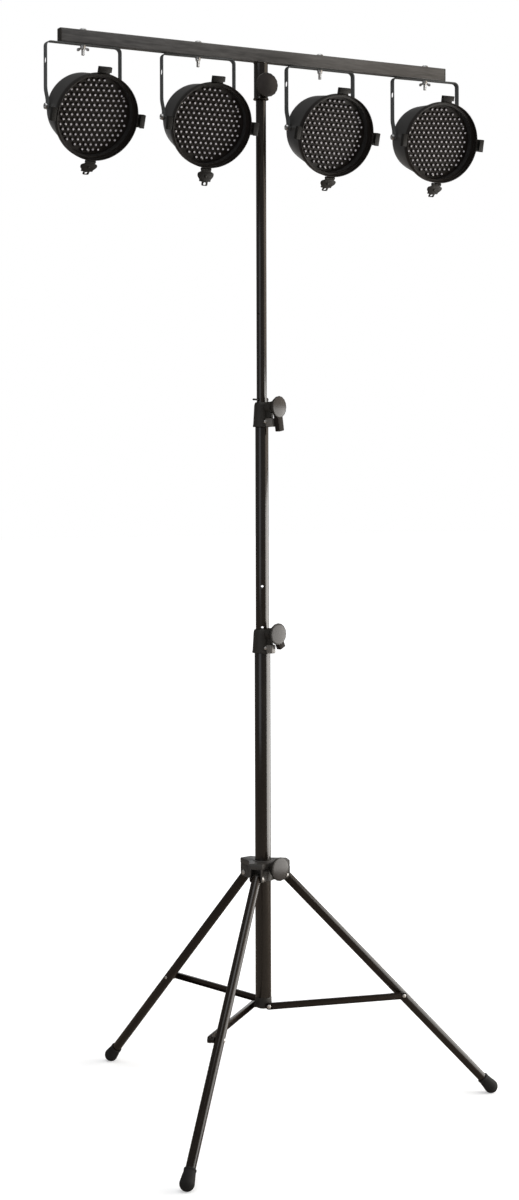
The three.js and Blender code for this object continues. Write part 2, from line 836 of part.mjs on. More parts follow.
// The ring on the can's mouth, with three hooked clips for a filter frame.
function frontRing() {
  const back = canFront + gap;
  const front = back + ringDepth;
  const floor = back + ringFloor;
  const inside = ringRadius - ringSheet;
  const ring = revolve(
    [
      [ringBore, back],
      [ringRadius, back],
      [ringRadius, front],
      [inside, front],
      [inside, floor],
      [ringBore, floor],
    ],
    ringFacets,
  );
  const root = inside + (ringRadius - inside) / 4;
  const tip = ringRadius + clipReach;
  const lip = front + clipForward;
  const seat = lip - clipDepth;
  const hook = outline([
    [root, -seat],
    [root, -seat - clipSheet],
    [tip - clipSheet, -seat - clipSheet],
    [tip - clipSheet, -lip + clipSheet],
    [tip - clipLip, -lip + clipSheet],
    [tip - clipLip, -lip],
    [tip, -lip],
    [tip, -seat],
  ]);
  const clips = clipAzimuths.map((azimuth) =>
    plateXZ(hook, -clipWidth / 2, clipWidth / 2).rotateX(Math.PI).rotateZ(azimuth),
  );
  return join(ring, ...clips);
}

// The sprung latch under the ring, hung from its knuckle, with an eye in its tip.
function latch() {
  const side = [
    [latchNeck, 0],
    [latchNeck, -latchLength * latchNeckShare],
    [latchWing, -latchLength * latchShoulderShare],
    [latchWing, -latchLength * latchWingShare],
    [latchWaist, -latchLength * latchWaistShare],
    [latchWaist, -latchLength * latchStepShare],
    [latchTip, -latchLength * latchStepShare],
    [latchTip, -latchLength],
  ];
  const otherSide = side.map(([x, y]) => [-x, y]).reverse();
  const rivet = barZ(latchRivetRadius, 0, latchSheet + latchRivetHeight);
  const eye = boreZ(latchEyeRadius, -overrun, latchSheet + overrun);
  return cut(
    join(
      plateXY(outline([...side, ...otherSide]), 0, latchSheet),
      barX(latchKnuckle, -latchNeck, latchNeck),
      rivet.translate(0, -latchLength * latchWingShare, 0),
    ),
    eye.translate(0, -latchLength * latchEyeShare, 0),
  );
}

// Six-cornered lenses on a hexagonal pitch, their feet meeting just over a round board.
function ledBoard(turn) {
  const face = boardFace;
  const root = face - boardThickness / 2;
  const foot = ledPitch / Math.sqrt(3);
  const rowStep = (ledPitch * Math.sqrt(3)) / 2;
  const corners = [];
  const walls = new Map();
  const key = (point) => Math.round(point.x / weldDistance) + " " + Math.round(point.y / weldDistance);
  const addTriangle = (...points) => corners.push(...points.flatMap((point) => point.toArray()));
  ledRowCounts.forEach((count, row) => {
    for (let column = 0; column < count; column += 1) {
      const x = (column - (count - 1) / 2) * ledPitch;
      const y = (row - (ledRowCounts.length - 1) / 2) * rowStep;
      const feet = Array.from({ length: 6 }, (_, side) => {
        const angle = ((2 * side + 1) * Math.PI) / 6;
        return new THREE.Vector3(x + foot * Math.cos(angle), y + foot * Math.sin(angle), face);
      });
      const tip = new THREE.Vector3(x, y, face + ledHeight);
      const seat = new THREE.Vector3(x, y, root);
      feet.forEach((start, side) => {
        const end = feet[(side + 1) % feet.length];
        const [startRoot, endRoot] = [start, end].map((point) => point.clone().setZ(root));
        addTriangle(start, end, tip);
        addTriangle(endRoot, startRoot, seat);
        if (walls.delete(key(end) + ">" + key(start))) return;
        walls.set(key(start) + ">" + key(end), [start, end, startRoot, endRoot]);
      });
    }
  });
  for (const [start, end, startRoot, endRoot] of walls.values()) {
    addTriangle(end, start, startRoot);
    addTriangle(end, startRoot, endRoot);
  }
  const lenses = new THREE.BufferGeometry();
  lenses.setAttribute("position", new THREE.Float32BufferAttribute(corners, 3));
  const board = [
    [0, face - boardThickness],
    [boardRadius, face - boardThickness],
    [boardRadius, face - boardThickness / 4],
    [0, face - boardThickness / 4],
  ];
  return join(lenses, revolve(board, canFacets).rotateZ(-turn));
}

// A circuit board on posts against the can's rear wall, with its transformer.
function powerSupply() {
  const floor = canRear + canSheet + gap;
  const board = floor + supplyStandoff;
  const across = [-supplyWidth / 2, supplyWidth / 2];
  const along = [-supplyHeight / 2, supplyHeight / 2];
  const posts = [-1, 1].map((side) =>
    barZ(supplyPostRadius, floor, board + supplyBoard / 2).translate(side * supplyWidth * supplyPostShare, 0, 0),
  );
  const transformer = block(
    [-transformerWidth / 2, transformerWidth / 2],
    [-transformerHeight / 2, transformerHeight / 2],
    [board, board + transformerDepth],
  );
  return join(block(across, along, [board, board + supplyBoard]), transformer, ...posts);
}

function addLamps(swivel) {
  lampPlaces.forEach((place, index) => {
    const label = "lamp_" + (index + 1) + "_";
    const hanger = group(swivel, { at: [place, 0, barUnderside] });
    hanger.add(named(label + "hanging_bolt", zinc, hangingBolt()));
    hanger.add(named(label + "wing_nut", zinc, wingNut(wingTurns[index])));
    const pan = group(hanger, { turn: [0, 0, lampPans[index]] });
    pan.add(named(label + "yoke", blackSteel, yoke()));
    const tilt = group(pan, { at: [0, 0, -pivotDrop], turn: [Math.PI / 2 + lampTilts[index], 0, 0] });
    tilt.add(named(label + "can", blackSteel, can()));
    tilt.add(named(label + "front_ring", blackSteel, frontRing()));
    tilt.add(named(label + "power_supply", circuitGreen, powerSupply()));
    const board = group(tilt, { turn: [0, 0, boardTurns[index]] });
    board.add(named(label + "led_board", ledLens, ledBoard(boardTurns[index])));
    const latchDrop = ringRadius + latchKnuckle + gap;
    const hinge = canFront + gap + ringDepth / 2;
    const hook = group(tilt, { at: [0, -latchDrop, hinge], turn: [latchLeans[index], 0, 0] });
    hook.add(named(label + "filter_latch", blackSteel, latch()));
  });
}

const object = new THREE.Group();
const stand = group(object);
addMast(stand);
addBaseCap(stand);
addHub(stand);
addLegs(stand);
addCollars(stand);
addSafetyPin(stand);
addCrossBar(stand);
addLamps(stand);

// The mast stands off the middle of the tripod's outline, so the stand is moved to centre it.
const extent = new THREE.Box3().setFromObject(object, true);
const middle = extent.getCenter(new THREE.Vector3());
stand.position.set(-middle.x, -middle.y, -extent.min.z);

export default object;
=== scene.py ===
# %% [markdown]
# # A lighting stand with a T bar and four LED par cans
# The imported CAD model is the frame: it says where every piece sits and what it moves with. This
# lesson keeps those places and builds each piece again with round curves, soft edges and real
# finishes, because the CAD solids have few facets and one flat colour each.

# %% Load the frame
import math

import bmesh
import bpy
from mathutils import Matrix, Vector


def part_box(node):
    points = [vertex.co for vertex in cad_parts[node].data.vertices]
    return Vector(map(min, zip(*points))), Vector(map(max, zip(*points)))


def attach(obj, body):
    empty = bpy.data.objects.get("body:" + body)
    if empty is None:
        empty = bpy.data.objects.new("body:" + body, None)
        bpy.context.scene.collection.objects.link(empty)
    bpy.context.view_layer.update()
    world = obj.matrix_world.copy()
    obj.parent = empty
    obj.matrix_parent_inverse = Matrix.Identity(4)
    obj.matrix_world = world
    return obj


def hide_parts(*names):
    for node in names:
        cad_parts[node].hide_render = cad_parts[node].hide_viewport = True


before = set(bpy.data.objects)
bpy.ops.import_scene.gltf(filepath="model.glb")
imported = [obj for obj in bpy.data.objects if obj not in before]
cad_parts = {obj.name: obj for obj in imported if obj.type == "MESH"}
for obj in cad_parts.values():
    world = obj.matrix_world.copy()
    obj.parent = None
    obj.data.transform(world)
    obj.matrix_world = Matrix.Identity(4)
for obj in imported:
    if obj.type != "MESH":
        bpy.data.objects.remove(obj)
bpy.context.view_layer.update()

# %% [markdown]
# ## Sizes
# All sizes are in millimetres. Nearly all of them match the CAD model, so that a piece drops into the
# place of the node that it stands for. A few forms, such as the reach of the collars' gussets and
# the top of the hub's deck, follow the photograph more closely. The mast stands off the middle of
# the stand's outline, and its own tube tells where. One matrix turns millimetres round the mast
# into metres in the frame.

# %% Where the mast stands
tube_low, tube_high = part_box("mast_lower_tube")
mast = (tube_low + tube_high) / 2
METRES = Matrix.Translation((mast.x, mast.y, 0)) @ Matrix.Scale(0.001, 4)
print("mast axis", round(mast.x, 5), round(mast.y, 5))

# %% Mast, collars and knobs
GAP = 0.3
LOWER_TUBE, MIDDLE_TUBE, TOP_TUBE = 18.5, 15.5, 12.0
TUBE_WALL = 1.5
LOWER_COLLAR, UPPER_COLLAR = 1073, 1602
COLLAR_HEIGHT, COLLAR_SOCKET, COLLAR_BOSS = 58, 36, 46
BOSS_REACH, GUSSET_REACH, GUSSET_HEIGHT = 34, 38.5, 20
KNOB_RADIUS, KNOB_DEPTH = 25.5, 17
SCREW_RADIUS = 4
SCREW_HOLE = SCREW_RADIUS + GAP
PIN_RISE = 6
PIN_HEIGHT = UPPER_COLLAR + COLLAR_HEIGHT + PIN_RISE
TOP_HOLE_TURN, MIDDLE_HOLE_TURN = math.radians(203), math.radians(242)

# %% Tripod
HUB_BOTTOM, HUB_TOP = 541, 577
DECK_TOP, DECK_HEIGHT, DECK_HALF, DECK_WAIST = 587, 12.5, 16.8, 34
HUB_KNOB, HUB_KNOB_RADIUS, HUB_KNOB_DEPTH = 573, 27.8, 21
HUB_KNOB_TURN, HUB_BOSS_REACH = math.radians(286), 40
LEG_PIVOT_RADIUS, LEG_PIVOT_HEIGHT = 52, 553
LEG_RADIUS, BOOT_RADIUS = 11, 16.5
FOOT_RADIUS = 563
LEG_TURNS = [math.radians(turn) for turn in (-14.5, 105.5, 225.5)]
CAP_BOTTOM, CAP_TOP = 237, 267
STRUT_PIVOT_RADIUS, STRUT_PIVOT_HEIGHT, STRUT_REACH = 7, 249, 337
STRUT_HALF, STRUT_OFFSET, STRUT_WIDTH, STRUT_SHEET = 7.5, 19.5, 7.5, 1.6
ball_height = BOOT_RADIUS - 0.8
leg_run = FOOT_RADIUS - LEG_PIVOT_RADIUS
leg_drop = LEG_PIVOT_HEIGHT - ball_height
leg_lean = math.atan2(leg_run, leg_drop)
leg_length = math.hypot(leg_run, leg_drop)
leg_end = leg_length - BOOT_RADIUS + 5
strut_on_leg = (STRUT_REACH - LEG_PIVOT_RADIUS) / leg_run * leg_length
strut_rise = LEG_PIVOT_HEIGHT - strut_on_leg * math.cos(leg_lean) - STRUT_PIVOT_HEIGHT
strut_length = math.hypot(STRUT_REACH - STRUT_PIVOT_RADIUS, strut_rise)
strut_lean = math.atan2(strut_rise, STRUT_REACH - STRUT_PIVOT_RADIUS)
print("leg", round(leg_length, 1), "strut", round(strut_length, 1))

# %% Cross bar and lamps
BAR_LENGTH, BAR_HEIGHT, BAR_DEPTH, BAR_UNDERSIDE = 1013, 31, 20, 2456
SLEEVE_TOP = BAR_UNDERSIDE - GAP
SLEEVE_FOOT = SLEEVE_TOP - 87
SLEEVE_KNOB = SLEEVE_TOP - 56
LAMP_PLACES = [share * BAR_LENGTH / 2 for share in (-0.891, -0.324, 0.314, 0.898)]
LAMP_PANS = [math.radians(turn) for turn in (0.6, -2.9, 0, -2.7)]
LAMP_TILTS = [math.radians(turn) for turn in (20.8, 18.3, 17.3, 13.8)]
WING_TURNS = [math.radians(turn) for turn in (-28, 62, 62, -28)]
BOARD_TURNS = [math.radians(turn) for turn in (3, 0, 0, 3.2)]
LATCH_LEANS = [math.radians(turn) for turn in (31, 0, 31, 33)]
PIVOT_DROP = 146
YOKE_HALF, YOKE_NECK, YOKE_WIDTH, YOKE_SHEET = 92, 87.5, 16, 2.5
CAN_FRONT, CAN_BACK, CAN_REAR, CAN_SHEET = 72, -26, -42, 1.2
CAN_FRONT_RADIUS, CAN_BACK_RADIUS, CAN_REAR_RADIUS = 93.2, 78.4, 60
RING_RADIUS, RING_BORE, RING_DEPTH = 97, 89, 16
BOARD_FACE, BOARD_RADIUS, LED_PITCH = 56, 89, 12.8
LED_ROWS = (4, 7, 10, 11, 12, 13, 12, 13, 12, 13, 12, 11, 10, 7, 4)
print("lamps hang at", [round(place) for place in LAMP_PLACES])

# %% [markdown]
# ## The camera
# The portrait was taken from the front left at about chest height, with a level camera whose view
# was shifted downwards, which keeps the mast upright. The values were found by laying the model's
# outline over the photograph until the bar, the lamps, the collars and the feet all met.

# %% Camera
lens = bpy.data.cameras.new("portrait_camera")
camera = bpy.data.objects.new("portrait_camera", lens)
bpy.context.scene.collection.objects.link(camera)
bpy.context.scene.camera = camera
lens.sensor_width, lens.lens = 36, 61.2
lens.shift_x, lens.shift_y = -0.00204, -0.104
view_turn = math.radians(-28)
away = Vector((math.sin(view_turn), -math.cos(view_turn), 0))
upright = Matrix.Rotation(view_turn, 4, "Z") @ Matrix.Rotation(math.pi / 2, 4, "X")
stance = Matrix.Translation(Vector((mast.x, mast.y, 1.489)) + away * 4.784)
camera.matrix_world = stance @ upright @ Matrix.Rotation(math.radians(-0.16), 4, "Z")
print("camera at", [round(value, 3) for value in camera.matrix_world.translation])

# %% [markdown]
# ## Tools for finishes
# Colours are written as the sRGB hex values that an eye sees, and one function turns them to the
# linear light that the shaders count in. One more function adds a shader node with its settings
# and links. Patterns are placed by object coordinates, which are metres here, so a grain of g
# millimetres has a noise scale of 1000 / g.

# %% Colour and node helpers
def linear(hex_code):
    """The linear colour of an sRGB hex value such as "#2a2520"."""
    shares = [int(hex_code[i : i + 2], 16) / 255 for i in (1, 3, 5)]
    return [s / 12.92 if s <= 0.04045 else ((s + 0.055) / 1.055) ** 2.4 for s in shares] + [1.0]


def add(tree, kind, settings=None, links=None):
    """A new node: settings name its properties or its sockets, links join its sockets to others."""
    made = tree.nodes.new(kind)
    for key, value in (settings or {}).items():
        if isinstance(key, str) and hasattr(made, key):
            setattr(made, key, value)
        else:
            made.inputs[key].default_value = value
    for key, socket in (links or {}).items():
        tree.links.new(socket, made.inputs[key])
    return made


def coated(name, dark, pale, rough, grain, bump, cloud=60, stretch=(1, 1, 1), sheen=0.5):
    """A finish whose colour drifts between dark and pale, over a grain of that many millimetres."""
    material = bpy.data.materials.new(name)
    material.use_nodes = True
    tree = material.node_tree
    tree.nodes.clear()
    place = add(tree, "ShaderNodeTexCoord").outputs["Object"]
    along = add(tree, "ShaderNodeMapping", {"Scale": stretch}, {"Vector": place}).outputs["Vector"]
    drift = add(
        tree,
        "ShaderNodeTexNoise",
        {"Scale": 1000 / cloud, "Detail": 4.0, "Roughness": 0.6},
        {"Vector": along},
    )
    fine = add(
        tree,
        "ShaderNodeTexNoise",
        {"Scale": 1000 / grain, "Detail": 3.0, "Roughness": 0.55},
        {"Vector": along},
    )
    slow = add(tree, "ShaderNodeMath", {"operation": "MULTIPLY", 1: 0.55}, {0: drift.outputs["Fac"]})
    mixed = {0: fine.outputs["Fac"], 2: slow.outputs[0]}
    both = add(tree, "ShaderNodeMath", {"operation": "MULTIPLY_ADD", 1: 0.45}, mixed)
    tone = add(tree, "ShaderNodeMapRange", {"From Min": 0.34, "From Max": 0.66}, {"Value": both.outputs[0]})
    paint = add(
        tree, "ShaderNodeMix", {"data_type": "RGBA", 6: linear(dark), 7: linear(pale)}, {0: tone.outputs[0]}
    )
    dull = add(
        tree,
        "ShaderNodeMapRange",
        {"From Min": 0.3, "From Max": 0.7, "To Min": rough[0], "To Max": rough[1]},
        {"Value": both.outputs[0]},
    )
    relief = add(
        tree, "ShaderNodeBump", {"Strength": 1.0, "Distance": bump / 1000}, {"Height": fine.outputs["Fac"]}
    )
    skin = add(
        tree,
        "ShaderNodeBsdfPrincipled",
        {"Specular IOR Level": sheen},
        {"Base Color": paint.outputs[2], "Roughness": dull.outputs[0], "Normal": relief.outputs[0]},
    )
    add(tree, "ShaderNodeOutputMaterial", {}, {"Surface": skin.outputs[0]})
    return material


def metal(material):
    """Makes a finish metallic; its IOR stays as it is."""
    material.node_tree.nodes["Principled BSDF"].inputs["Metallic"].default_value = 1.0
    return material


# %% [markdown]
# ## Finishes
# Nearly every piece is black, and what tells them apart is how each black takes the light. The
# mast and legs are powder coated and satin, so they carry one long soft streak. The bar's coat is
# duller and greyer. The cans are enamelled sheet, a little rough. Collars, caps and knobs are
# moulded nylon. Only the fasteners are bright.

# %% Powder coat on the mast and legs: satin, with a warm black and a soft orange peel
# The legs are a little duller than the mast, as they get scuffed in transport. Real orange peel is
# about 1 mm from crest to crest. It is drawn 3 mm wide here, so that it shows.
mast_coat = coated(
    "black_powder_coat_on_steel_tube", "#181410", "#221d18", (0.14, 0.19), 3.0, 0.010, cloud=90, sheen=0.85
)
leg_coat = coated(
    "black_powder_coat_on_steel_leg", "#17120e", "#221b15", (0.18, 0.24), 3.0, 0.010, cloud=90, sheen=0.42
)

# %% Paint on the hub's casting: a sand-cast grain under it keeps it dull and a little grayer
# The grain of the sand is near 0.4 mm. It is drawn 2 mm wide, so that it shows.
cast_paint = coated(
    "black_paint_on_cast_hub", "#312f2c", "#413e3b", (0.38, 0.48), 2.0, 0.06, cloud=20, sheen=0.6
)

# %% Powder coat on the bar: duller and greyer, with faint streaks along the tube
# The streaks come from the drawn tube under the coat. They run along X, 4 mm apart, far wider
# than the real ones, and ten times as long as they are wide.
bar_coat = coated(
    "gray_black_powder_coat_on_bar",
    "#3a3938",
    "#605e5c",
    (0.42, 0.52),
    4.0,
    0.03,
    cloud=30,
    stretch=(0.10, 1, 1),
)

# %% Enamel on the cans and rings: sheet steel, sprayed and baked, slightly rough
can_enamel = coated(
    "baked_enamel_on_sheet_steel_can", "#292827", "#363534", (0.32, 0.42), 2.2, 0.03, cloud=45
)
ring_enamel = coated(
    "baked_enamel_on_front_ring", "#110e0c", "#1a1613", (0.34, 0.42), 2.2, 0.02, cloud=45, sheen=0.35
)
clip_enamel = coated(
    "matt_enamel_on_clips_and_latch", "#11110f", "#1b1a18", (0.44, 0.55), 2.0, 0.03, cloud=20, sheen=0.35
)
yoke_enamel = coated(
    "enamel_on_yoke_strip", "#464848", "#565858", (0.48, 0.58), 2.5, 0.02, cloud=40, sheen=0.4
)

# %% Moulded nylon on the collars and caps, and a polished one on the faces of the knobs
# Spark-eroded moulds leave a grain of about 0.3 mm. It is drawn 1.5 mm wide, so that it shows. The
# knobs' faces and the collars' gussets come from a polished part of the mould, so they mirror the
# light softly. The gussets are black nylon like the collars, but their colour is a pale grey: a
# painted highlight of the wide box on the right. The knobs' thumb tails are dull.
black_nylon = coated(
    "moulded_black_nylon", "#25231f", "#312e2a", (0.44, 0.54), 1.5, 0.05, cloud=25, sheen=0.4
)
# Painted highlight: the gussets' pale grey stands in for the light they catch from the box on the right.
gusset_nylon_painted_highlight = coated(
    "polished_gusset_nylon_with_painted_highlight",
    "#5f5b56",
    "#6e6a65",
    (0.30, 0.38),
    1.5,
    0.003,
    cloud=25,
    sheen=0.9,
)
dull_nylon = coated(
    "dull_moulded_nylon_tail", "#1c1713", "#261f1a", (0.60, 0.70), 1.5, 0.05, cloud=25, sheen=0.2
)
knob_nylon = coated(
    "polished_nylon_knob_face", "#292524", "#32302e", (0.22, 0.28), 1.5, 0.003, cloud=25, sheen=0.42
)

# %% Rubber of the boots: dead matt, with a dusty bloom
boot_rubber = coated(
    "moulded_black_rubber", "#171615", "#242322", (0.72, 0.85), 1.8, 0.08, cloud=18, sheen=0.3
)

# %% Black oxide on the locking pin: a thin dull skin over steel
black_oxide = coated("black_oxide_on_steel_pin", "#1b1a19", "#272625", (0.34, 0.44), 1.2, 0.01, cloud=8)

# %% Zinc plate on the screws, bolts, hinge pins and wing nuts: bright, a little cloudy
zinc_plate = metal(
    coated("bright_zinc_plated_steel", "#c4c5c6", "#dededd", (0.30, 0.42), 1.2, 0.02, cloud=8)
)

# %% Aluminium rivets and pin heads: soft metal, upset cold, with a bright but blurred shine
bright_rivet = metal(
    coated("upset_aluminium_rivet", "#e6e5e3", "#f6f5f3", (0.50, 0.62), 1.2, 0.01, cloud=8)
)

# %% The LED board: clear epoxy lenses with silvered cups, on a black solder mask
# A clear lens shows the pale cup and chip inside it from the front, and the dark board through
# its sides. The crown is pale and glossy here, and the collar below it is smoked.
lens_crown = coated(
    "clear_epoxy_lens_over_silvered_cup", "#bcb8bb", "#ebe7ea", (0.10, 0.16), 3.0, 0.01, cloud=14
)
lens_side = coated(
    "smoked_side_of_epoxy_lens", "#221c19", "#2d2723", (0.30, 0.40), 3.0, 0.01, cloud=30, sheen=0.3
)
board_mask = coated(
    "black_solder_mask_on_board", "#1a1512", "#241f1c", (0.40, 0.50), 2.0, 0.02, cloud=15, sheen=0.35
)
driver_board = coated(
    "green_solder_mask_on_driver_board", "#1f4a30", "#2f6b44", (0.32, 0.45), 2.5, 0.05, cloud=10
)
print("finishes", len(bpy.data.materials))

# %% [markdown]
# ## Tools for shapes
# Four tools make every piece. `softened` rounds the corners of an outline. `turned` spins a profile
# round the Z axis as a lathe does. `pressed` cuts an outline from sheet and breaks its edges.
# `drilled` takes one shape out of another. `piece` then puts the parts together in one mesh, gives
# each its finish, and hangs the whole on its body in the frame.

# %% Round the corners of an outline
def softened(points, radius, closed=True, steps=3):
    """The outline with its corners rounded. A third value at a point is that corner's own radius."""
    made = []
    for i, point in enumerate(points):
        here = Vector(point[:2])
        if not closed and i in (0, len(points) - 1):
            made.append(here)
            continue
        before, after = Vector(points[i - 1][:2]), Vector(points[(i + 1) % len(points)][:2])
        room = 0.45 * min((before - here).length, (after - here).length)
        reach = min(point[2] if len(point) == 3 else radius, room)
        if reach < 1e-4:
            made.append(here)
            continue
        start = here + (before - here).normalized() * reach
        end = here + (after - here).normalized() * reach
        for step in range(steps + 1):
            t = step / steps
            made.append(start * (1 - t) ** 2 + here * (2 * t * (1 - t)) + end * t**2)
    return made


def arc(centre, radius, start, end, steps=8):
    """Points on an arc; the angles are in degrees."""
    turns = [math.radians(start + (end - start) * step / steps) for step in range(steps + 1)]
    return [(centre[0] + radius * math.cos(t), centre[1] + radius * math.sin(t)) for t in turns]


# %% Spin a profile
def mesh_of(form):
    bmesh.ops.remove_doubles(form, verts=form.verts, dist=1e-3)
    bmesh.ops.recalc_face_normals(form, faces=form.faces)
    mesh = bpy.data.meshes.new("part")
    form.to_mesh(mesh)
    form.free()
    return mesh


def turned(profile, edge=0.4, segments=64, steps=3, ripple=None):
    """A form spun round Z from (radius, height) points. A profile off the axis makes a ring."""
    closed = profile[0][0] > 0
    form = bmesh.new()
    rings = []
    for radius, height in softened(profile, edge, closed, steps):
        if radius < 1e-6:
            rings.append([form.verts.new((0, 0, height))])
            continue
        turns = [2 * math.pi * k / segments for k in range(segments)]
        reach = [ripple(turn, radius, height) if ripple else radius for turn in turns]
        rings.append(
            [form.verts.new((r * math.cos(t), r * math.sin(t), height)) for r, t in zip(reach, turns)]
        )
    for low, high in zip(rings, rings[1:] + rings[:1] if closed else rings[1:]):
        for k in range(segments):
            corners = (
                low[k % len(low)], low[(k + 1) % len(low)], high[(k + 1) % len(high)], high[k % len(high)]
            )
            corners = list(dict.fromkeys(corners))
            if len(corners) > 2:
                form.faces.new(corners)
    return mesh_of(form)


# %% Cut an outline from sheet
def pressed(outline, thickness, holes=(), edge=0.4):
    """A flat part in the XY plane, its thickness shared over both sides of Z = 0."""
    sheet = bpy.data.curves.new("outline", "CURVE")
    sheet.dimensions, sheet.fill_mode = "2D", "BOTH"
    sheet.extrude, sheet.bevel_depth = thickness / 2 - edge, edge
    sheet.bevel_resolution, sheet.offset = 1, -edge
    for line in (outline, *holes):
        spline = sheet.splines.new("POLY")
        spline.points.add(len(line) - 1)
        for point, place in zip(spline.points, line):
            point.co = (place[0], place[1], 0, 1)
        spline.use_cyclic_u = True
    holder = bpy.data.objects.new("outline", sheet)
    bpy.context.scene.collection.objects.link(holder)
    made = bpy.data.meshes.new_from_object(holder.evaluated_get(bpy.context.evaluated_depsgraph_get()))
    bpy.data.objects.remove(holder)
    form = bmesh.new()
    form.from_mesh(made)
    return mesh_of(form)


# %% Take one shape out of another
def drilled(mesh, *tools):
    """The mesh less every (tool mesh, placing)."""
    stock = bpy.data.objects.new("stock", mesh)
    bpy.context.scene.collection.objects.link(stock)
    cutters = []
    for tool, place in tools:
        cutter = bpy.data.objects.new("cutter", tool)
        cutter.matrix_world = place
        bpy.context.scene.collection.objects.link(cutter)
        cutters.append(cutter)
        cut = stock.modifiers.new("cut", "BOOLEAN")
        cut.object, cut.operation, cut.solver = cutter, "DIFFERENCE", "EXACT"
    bpy.context.view_layer.update()
    made = bpy.data.meshes.new_from_object(stock.evaluated_get(bpy.context.evaluated_depsgraph_get()))
    for holder in (stock, *cutters):
        bpy.data.objects.remove(holder)
    return made


# %% Places and pieces
def move(x=0.0, y=0.0, z=0.0):
    return Matrix.Translation((x, y, z))


def spin(angle, axis):
    return Matrix.Rotation(angle, 4, axis)


HERE = Matrix.Identity(4)
ALONG_X = spin(math.pi / 2, "Y")
ALONG_Y = spin(-math.pi / 2, "X")
UPRIGHT = spin(math.pi / 2, "X")
made_pieces = []


def piece(node, body, parts, floor=False):
    """One object from (mesh, placing, finish) parts, in the slot of the first part's finish.

    It rides on the body and stands for the node.
    """
    form = bmesh.new()
    finishes = []
    for mesh, place, finish in parts:
        if finish not in finishes:
            finishes.append(finish)
        copy = mesh.copy()
        copy.transform(METRES @ place)
        first = len(form.faces)
        form.from_mesh(copy)
        bpy.data.meshes.remove(copy)
        form.faces.ensure_lookup_table()
        for face in form.faces[first:]:
            face.material_index = finishes.index(finish)
            face.smooth = True
    if floor:
        for corner in form.verts:
            corner.co.z = max(corner.co.z, 0.0)
    mesh = bpy.data.meshes.new(node)
    form.to_mesh(mesh)
    form.free()
    mesh.set_sharp_from_angle(angle=math.radians(34))
    for finish in finishes:
        mesh.materials.append(finish)
    made = bpy.data.objects.new("dressed_" + node, mesh)
    bpy.context.scene.collection.objects.link(made)
    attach(made, body)
    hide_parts(node)
    made_pieces.append(made)
    return made


def rod(radius, start, end, edge=0.4, segments=48):
    """A round bar from start to end on Z."""
    return turned([(0, start), (radius, start), (radius, end), (0, end)], edge, segments)


def domed_head(radius, height):
    """The head of a rivet or pin, its flat face at Z = 0."""
    return turned(
        [
            (0, 0),
            (radius, 0),
            (radius, height * 0.35, height * 0.3),
            (radius * 0.62, height * 0.86, radius),
            (0, height),
        ],
        0.2,
        32,
    )


def flute(turn, count):
    """How far a point is into one of count flutes round Z: 0 on a crest, 1 in a hollow."""
    return 0.5 - 0.5 * math.cos(count * turn)


def slab(length, width, thickness, corner=1.0, edge=0.5):
    """A rectangle of sheet with its middle at the origin."""
    x, y = length / 2, width / 2
    return pressed(softened([(-x, -y), (x, -y), (x, y), (-x, y)], corner), thickness, (), edge)


def slot_outline(length, half, inset=0.0):
    """A bar with half-round ends from 0 to length."""
    return arc((inset, 0), half, 90, 270, 10) + arc((length - inset, 0), half, -90, 90, 10)


# %% [markdown]
# ## The mast
# Three steel tubes slide in each other. Each is a plain tube with its ends broken by a file, and
# the upper two have cross holes for a locking pin. The middle tube's two holes face the camera,
# and the white room shows through them, so the holes are really drilled.

# %% Three tubes
CROSS_HOLE, CROSS_DRILL_REACH = 3.3, 30
MIDDLE_HOLE_RISE, MIDDLE_HOLE_STEP, TOP_HOLE_STEP = 1.5, 96, 100
MIDDLE_TUBE_TAIL, TOP_TUBE_TAIL = 170, 350


def mast_tube(radius, bottom, top):
    bore = radius - TUBE_WALL
    return turned([(bore, bottom), (radius, bottom), (radius, top), (bore, top)], 0.5, 72, 2)


cross_drill = rod(CROSS_HOLE, -CROSS_DRILL_REACH, CROSS_DRILL_REACH, 0.01, 24)
lower_top = LOWER_COLLAR + COLLAR_SOCKET - GAP
middle_top = UPPER_COLLAR + COLLAR_SOCKET - GAP
first_middle_hole = LOWER_COLLAR + COLLAR_HEIGHT + MIDDLE_HOLE_RISE
middle_holes = [first_middle_hole + step * MIDDLE_HOLE_STEP for step in (0, 1)]
top_holes = [PIN_HEIGHT + step * TOP_HOLE_STEP for step in (0, 1, 2)]
lower_tube = mast_tube(LOWER_TUBE, CAP_TOP, lower_top)
middle_tube = drilled(
    mast_tube(MIDDLE_TUBE, LOWER_COLLAR - MIDDLE_TUBE_TAIL, middle_top),
    *[(cross_drill, move(z=height) @ spin(MIDDLE_HOLE_TURN, "Z") @ ALONG_X) for height in middle_holes],
)
top_tube = drilled(
    mast_tube(TOP_TUBE, UPPER_COLLAR - TOP_TUBE_TAIL, BAR_UNDERSIDE - GAP),
    *[(cross_drill, move(z=height) @ spin(TOP_HOLE_TURN, "Z") @ ALONG_X) for height in top_holes],
)
piece("mast_lower_tube", "stand_mast", [(lower_tube, HERE, mast_coat)])
piece("mast_middle_tube", "mast_middle", [(middle_tube, HERE, mast_coat)])
piece("mast_top_tube", "mast_top", [(top_tube, HERE, mast_coat)])
print("tubes", len(lower_tube.vertices), len(middle_tube.vertices), len(top_tube.vertices))

# %% [markdown]
# ## Clamp collars and knobs
# A collar is a moulded sleeve over the top of each outer tube. It tapers upwards, has a boss for
# the knob's screw with a gusset under it, and a bright rivet that pins it to the tube. The knob is
# a mushroom with shallow grip flutes round its rim and a gently domed face, and on the collars it
# has a flat tail for the thumb.

# %% Collar
COLLAR_PLAY, COLLAR_WALL, COLLAR_TAPER = 0.4, 5.4, 3.2
BOSS_RADIUS, BOSS_RIM = 13, 14
GUSSET_HALF, RIB_WIDTH, LUG_ROOT = 8.5, 13, 2.5


